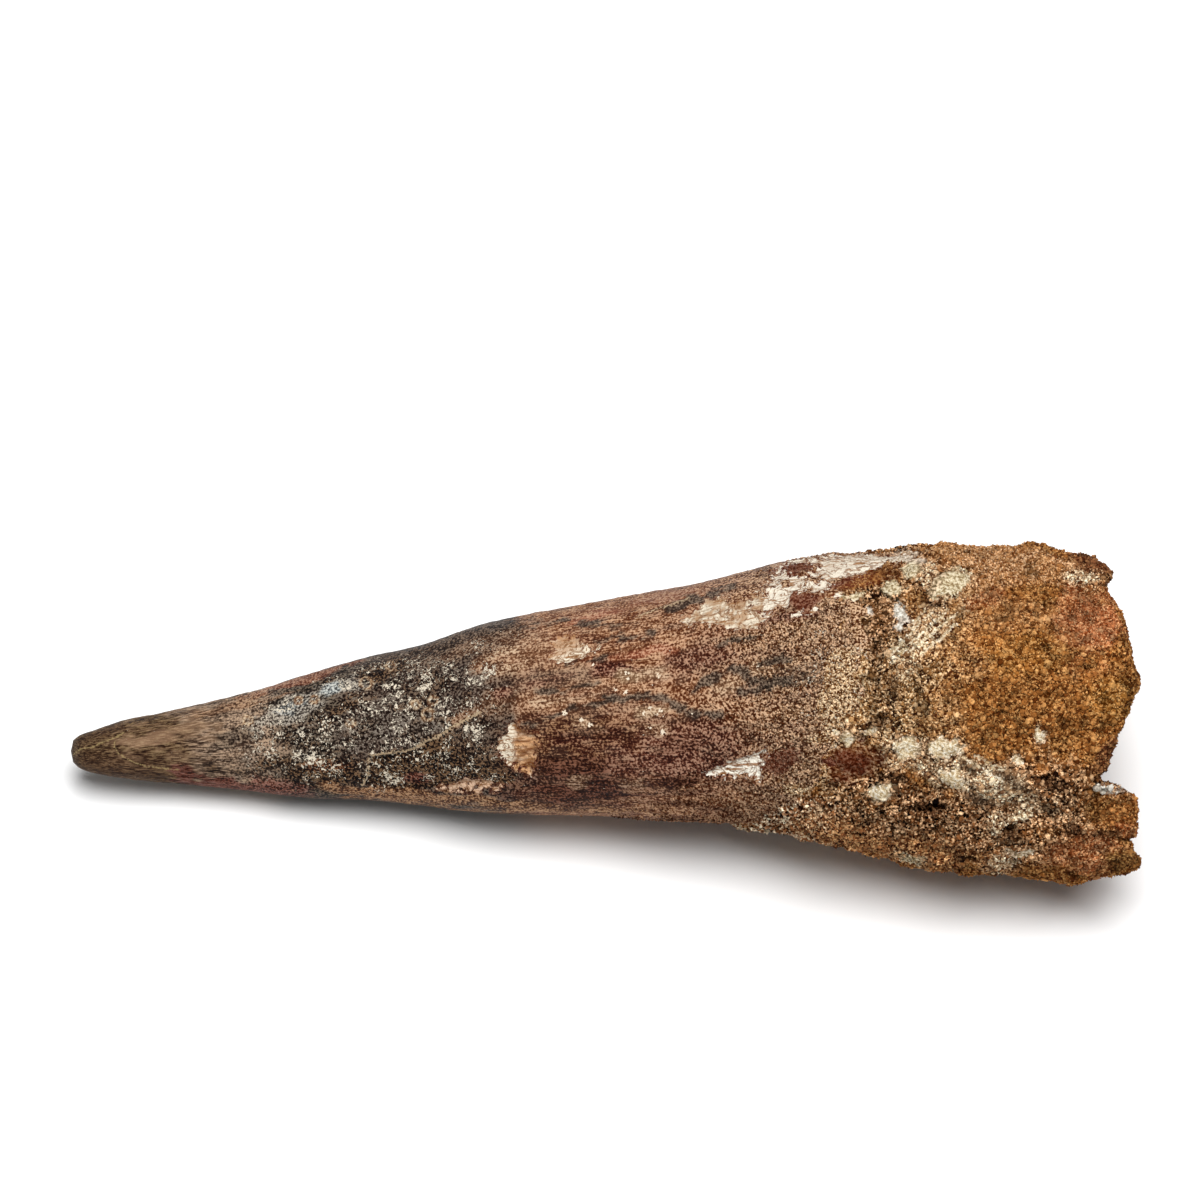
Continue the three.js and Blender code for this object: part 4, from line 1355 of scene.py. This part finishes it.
def make_sand(stone, stone_density, tooth, tooth_density, tooth_tones):
    """Fine sand lies all over the stone, coarse sand most thickly in one bed of it, and a crust on the root,
    in the root's own tones."""
    bed = in_oval(*np.moveaxis(stone, -1, 0)[:2], *COARSE_BED) + 2 * cloud(stone, 4, 43)
    spots, normals, _ = scatter(stone, stone_density * (0.3 + smoothstep(bed, -4, 3)), COARSE_SAND["count"])
    make_grains("sand_coarse", COARSE_SAND, BALL, spots, normals, tones_on_stone(spots), 0.3)
    for number in (1, 2):
        spots, normals, _ = scatter(stone, stone_density, FINE_SAND["count"])
        make_grains(f"sand_fine_{number}", FINE_SAND, CRYSTAL, spots, normals, tones_on_stone(spots), 0.45)
    spots, normals, cells = scatter(tooth, tooth_density, CRUST_SAND["count"])
    make_grains("sand_on_root", CRUST_SAND, CRYSTAL, spots, normals, tooth_tones[cells], 0.8)


# ---------------------------------------------------------------- materials


def fossil_dentine():
    """Tooth turned to stone: satin where the skin is whole, mottled dark and light in grains of a third of a
    millimetre, drawn out lengthwise where growth lines show, salted with pale flecks, matt where flaked."""
    material, tree = new_material("fossil dentine, worn and mineral-stained")
    here = add(tree, "TexCoord", out=3)
    growth = add(tree, "Attribute", attribute_name="growth", out=1)
    field, paint = {}, {}
    for key in ("flaked", "cracked", "split", "ridged", "spotted", "flecks", "streaks", "crust"):
        field[key] = add(tree, "Attribute", attribute_name=key, out=2)
    for key in ("dark", "middle", "light", "bare"):
        paint[key] = add(tree, "Attribute", attribute_name=key, out=0)

    # Mottling of the skin: even grit, or streaks drawn out along the growth lines, over wide blotches.
    grit = add(tree, "TexNoise", {"Vector": here, "Scale": 1 / (0.3 * MM), "Detail": 2, "Roughness": 0.6})
    spread = add(tree, "Mapping", {"Vector": growth, "Scale": (1 / 3.2, 1 / 1.3, 1 / 1.3)})
    blotch = add(tree, "TexNoise", {"Vector": spread, "Scale": 1, "Detail": 3})
    drawn = add(tree, "Mapping", {"Vector": growth, "Scale": (1 / 1.9, 1 / 0.19, 1 / 0.19)})
    streak = add(tree, "TexNoise", {"Vector": drawn, "Scale": 1, "Detail": 3, "Roughness": 0.6})
    fine = add(tree, "Mix", {0: field["streaks"], 2: grit, 3: streak})
    fine = add(tree, "Math", {0: blotch, 1: 0.25, 2: fine}, operation="MULTIPLY_ADD")
    rise = add(tree, "MapRange", {"Value": fine, "From Min": 0.57, "From Max": 0.61})
    crest = add(tree, "MapRange", {"Value": fine, "From Min": 0.64, "From Max": 0.69})

    # Flecks: the tops of a noise of half a millimetre, in clusters, more of them where their density is
    # higher. A duller film round them makes each cluster read as one patch.
    salt = {"Vector": here, "Scale": 1 / (0.4 * MM), "Detail": 3, "Roughness": 0.6, "Distortion": 1.2}
    salt = add(tree, "TexNoise", salt)
    cluster = add(tree, "TexNoise", {"Vector": here, "Scale": 1 / (2.3 * MM), "Detail": 2})
    cluster = add(tree, "MapRange", {"Value": cluster, "From Min": 0.4, "From Max": 0.6, "To Min": 0.35})
    thick = add(tree, "Math", {0: cluster, 1: field["flecks"]}, operation="MULTIPLY")
    salt = add(tree, "Math", {0: thick, 1: 0.38, 2: salt}, operation="MULTIPLY_ADD")
    film = add(tree, "MapRange", {"Value": salt, "From Min": 0.66, "From Max": 0.72, "To Max": 0.14})
    speck = add(tree, "MapRange", {"Value": salt, "From Min": 0.725, "From Max": 0.745})

    # Fine marks, frayed by the grit: the grit's weight, the levels where each starts and is full, its share.
    mark = {}
    for key, weight, low, high, share in (
        ("ridged", 1.0, 0.47, 0.57, 0.85),
        ("spotted", 0.9, 0.5, 0.56, 0.9),
        ("split", 0.3, 0.12, 0.18, 0.8),
        ("cracked", 0.5, 0.25, 0.31, 0.8),
    ):
        level = add(tree, "Math", {0: grit, 1: weight, 2: field[key]}, operation="MULTIPLY_ADD")
        level = {"Value": level, "From Min": low, "From Max": high, "To Max": share}
        mark[key] = add(tree, "MapRange", level)

    # Flakes: their edge is the field's zero, frayed by a noise, and a rust line runs round them.
    fray = add(tree, "TexNoise", {"Vector": here, "Scale": 1 / (0.8 * MM), "Detail": 5, "Roughness": 0.65})
    edge = add(tree, "Math", {0: fray, 1: 3.6, 2: field["flaked"]}, operation="MULTIPLY_ADD")
    rust = add(tree, "MapRange", {"Value": edge, "From Min": 1.5, "From Max": 1.82, "To Max": 0.6})
    bare = add(tree, "MapRange", {"Value": edge, "From Min": 1.85, "From Max": 1.91})

    # Dentine: fibres that rise a little towards the root, dull grit, and hairline cracks that curl through
    # it along the middle level of a twisted noise.
    slant = {"Vector": growth, "Rotation": (0, 0, np.radians(-24)), "Scale": (1 / 2.4, 1 / 0.36, 1 / 0.36)}
    slant = add(tree, "Mapping", slant)
    fibre = add(tree, "TexNoise", {"Vector": slant, "Scale": 1, "Detail": 3, "Roughness": 0.65})
    worn = add(tree, "MapRange", {"Value": fibre, "From Min": 0.36, "From Max": 0.48})
    dull = add(tree, "MapRange", {"Value": grit, "From Min": 0.55, "From Max": 0.68, "To Max": 0.45})
    curl = {"Vector": here, "Scale": 1 / (1.5 * MM), "Detail": 3, "Roughness": 0.6, "Distortion": 0.9}
    curl = add(tree, "TexNoise", curl)
    curl = add(tree, "Math", {0: curl, 1: 0.5}, operation="SUBTRACT")
    curl = add(tree, "Math", {0: curl}, operation="ABSOLUTE")
    curl = add(tree, "MapRange", {"Value": curl, "From Min": 0.04, "From Max": 0.012, "To Max": 0.85})

    # The skin's coats, then the dentine's, then the dentine let into the skin and the cracks over both.
    skin, dentine = paint["dark"], shade("a5774f")
    for share, tone in (
        (rise, paint["middle"]),
        (crest, paint["light"]),
        (film, shade("74624f")),
        (speck, shade("e6d9c3")),
        (mark["ridged"], shade("bda484")),
        (mark["spotted"], shade("f3e4cc")),
        (rust, shade("63301f")),
    ):
        skin = add(tree, "Mix", {0: share, 6: skin, 7: tone}, out=2, data_type="RGBA")
    for share, tone in (
        (worn, paint["bare"]),
        (dull, shade("a98d70")),
        (curl, shade("865c38")),
        (mark["split"], shade("6b3f22")),
    ):
        dentine = add(tree, "Mix", {0: share, 6: dentine, 7: tone}, out=2, data_type="RGBA")
    for share, tone in ((bare, dentine), (mark["cracked"], shade("a58e62"))):
        skin = add(tree, "Mix", {0: share, 6: skin, 7: tone}, out=2, data_type="RGBA")

    matt = add(tree, "Math", {0: bare, 1: field["crust"]}, operation="MAXIMUM")
    matt = add(tree, "Math", {0: matt, 1: speck}, operation="MAXIMUM")
    roughness = add(tree, "MapRange", {"Value": matt, "To Min": 0.48, "To Max": 0.85})
    height = add(tree, "Math", {0: speck, 1: 0.25, 2: fine}, operation="MULTIPLY_ADD")
    bump = add(tree, "Bump", {"Height": height, "Strength": 0.9, "Distance": 0.4 * MM})
    finish = {"Base Color": skin, "Roughness": roughness, "Normal": bump}
    finish |= {"IOR": 1.5, "Specular IOR Level": 0.05}
    add(tree, "OutputMaterial", {"Surface": add(tree, "BsdfPrincipled", finish)})
    return material


def sandstone_cement():
    """Iron-stained cement between the grains: matt, darkened by painted shade in its hollows and lightened
    by painted light on what stands out.
    """
    material, tree = new_material("sandstone cement, iron-stained and weathered")
    here = add(tree, "TexCoord", out=3)
    dark, middle, light = (
        add(tree, "Attribute", attribute_name=key, out=0) for key in ("dark", "middle", "light")
    )
    grit = add(tree, "TexNoise", {"Vector": here, "Scale": 1 / (0.4 * MM), "Detail": 3, "Roughness": 0.65})
    rise = add(tree, "MapRange", {"Value": grit, "From Min": 0.42, "From Max": 0.5})
    crest = add(tree, "MapRange", {"Value": grit, "From Min": 0.52, "From Max": 0.6})
    colour = dark
    for share, tone in ((rise, middle), (crest, light)):
        colour = add(tree, "Mix", {0: share, 6: colour, 7: tone}, out=2, data_type="RGBA")
    bump = add(tree, "Bump", {"Height": grit, "Strength": 1, "Distance": 0.5 * MM})
    finish = {"Base Color": colour, "Roughness": 0.95, "Normal": bump, "Specular IOR Level": 0.0}
    add(tree, "OutputMaterial", {"Surface": add(tree, "BsdfPrincipled", finish)})
    return material


def quartz_sand():
    """River sand of quartz under a skin of iron: each grain one tone with painted shade and light over it,
    finely frosted with painted glints, a little glossier than cement. The kinds of sand share it."""
    name = "quartz sand, frosted and iron-stained"
    if name in bpy.data.materials:
        return bpy.data.materials[name]
    material, tree = new_material(name)
    here = add(tree, "TexCoord", out=3)
    stain_and_painted_shade = add(tree, "Attribute", attribute_name="stain_and_painted_shade", out=0)
    frost = add(tree, "TexNoise", {"Vector": here, "Scale": 1 / (0.24 * MM), "Detail": 3, "Roughness": 0.6})
    glints = {"Value": frost, "From Min": 0.35, "From Max": 0.66, "To Min": 0.6, "To Max": 1.4}
    colour = add(tree, "VectorMath", {0: stain_and_painted_shade, 1: add(tree, "MapRange", glints)}, operation="MULTIPLY")
    bump = add(tree, "Bump", {"Height": frost, "Strength": 0.7, "Distance": 0.2 * MM})
    finish = {"Base Color": colour, "Roughness": 0.7, "Normal": bump, "Specular IOR Level": 0.03}
    add(tree, "OutputMaterial", {"Surface": add(tree, "BsdfPrincipled", finish)})
    return material


def seamless_paper():
    """White background paper, matt."""
    material, tree = new_material("white background paper, matt")
    finish = {"Base Color": shade("ffffff"), "Roughness": 1, "Specular IOR Level": 0}
    add(tree, "OutputMaterial", {"Surface": add(tree, "BsdfPrincipled", finish)})
    return material


# ---------------------------------------------------------------- floor, light and camera, in metres

FLOOR_SIZE = 3
ROOM_LIGHT = 0.15
SOFT_BOX = {"side": 0.9, "power": 27.6, "at": (0.1, -0.06, 1.35)}


def make_floor():
    """A wide square of background paper on the resting plane."""
    half = FLOOR_SIZE / 2
    mesh = bpy.data.meshes.new("floor")
    corners = [(-half, -half, 0), (half, -half, 0), (half, half, 0), (-half, half, 0)]
    mesh.from_pydata(corners, [], [(0, 1, 2, 3)])
    mesh.materials.append(seamless_paper())
    floor = bpy.data.objects.new("floor", mesh)
    bpy.context.scene.collection.objects.link(floor)


def make_light():
    """A large soft box overhead, a little behind the object, and a white room."""
    world = bpy.data.worlds.new("white room")
    world.use_nodes = True
    background = world.node_tree.nodes["Background"]
    background.inputs["Color"].default_value = (1, 1, 1, 1)
    background.inputs["Strength"].default_value = ROOM_LIGHT
    bpy.context.scene.world = world
    lamp = bpy.data.lights.new("soft box", "AREA")
    lamp.shape = "SQUARE"
    lamp.size = SOFT_BOX["side"]
    lamp.energy = SOFT_BOX["power"]
    soft_box = bpy.data.objects.new("soft box", lamp)
    soft_box.location = SOFT_BOX["at"]
    soft_box.rotation_euler = soft_box.location.to_track_quat("Z", "Y").to_euler()
    bpy.context.scene.collection.objects.link(soft_box)
    bpy.context.scene.view_settings.view_transform = "Standard"


def make_camera():
    """Looks straight at the display face from where the view spans FRAME_WIDTH at its aim."""
    data = bpy.data.cameras.new("camera")
    data.lens = LENS
    data.sensor_width = SENSOR
    camera = bpy.data.objects.new("camera", data)
    along, across, outward = AIM
    eye = Vector(place(along, across, outward + CAMERA_DISTANCE)) * MM
    camera.matrix_world = Matrix.Translation(eye) @ Matrix.Rotation(np.pi / 2 - FACE_TILT, 4, "X")
    bpy.context.scene.collection.objects.link(camera)
    bpy.context.scene.camera = camera


# ---------------------------------------------------------------- the whole

make_camera()
make_light()
make_floor()
tooth_points, tooth_density, tooth_tones = make_tooth()
stone_points, stone_density = make_sandstone()
make_sand(stone_points, stone_density, tooth_points, tooth_density, tooth_tones)
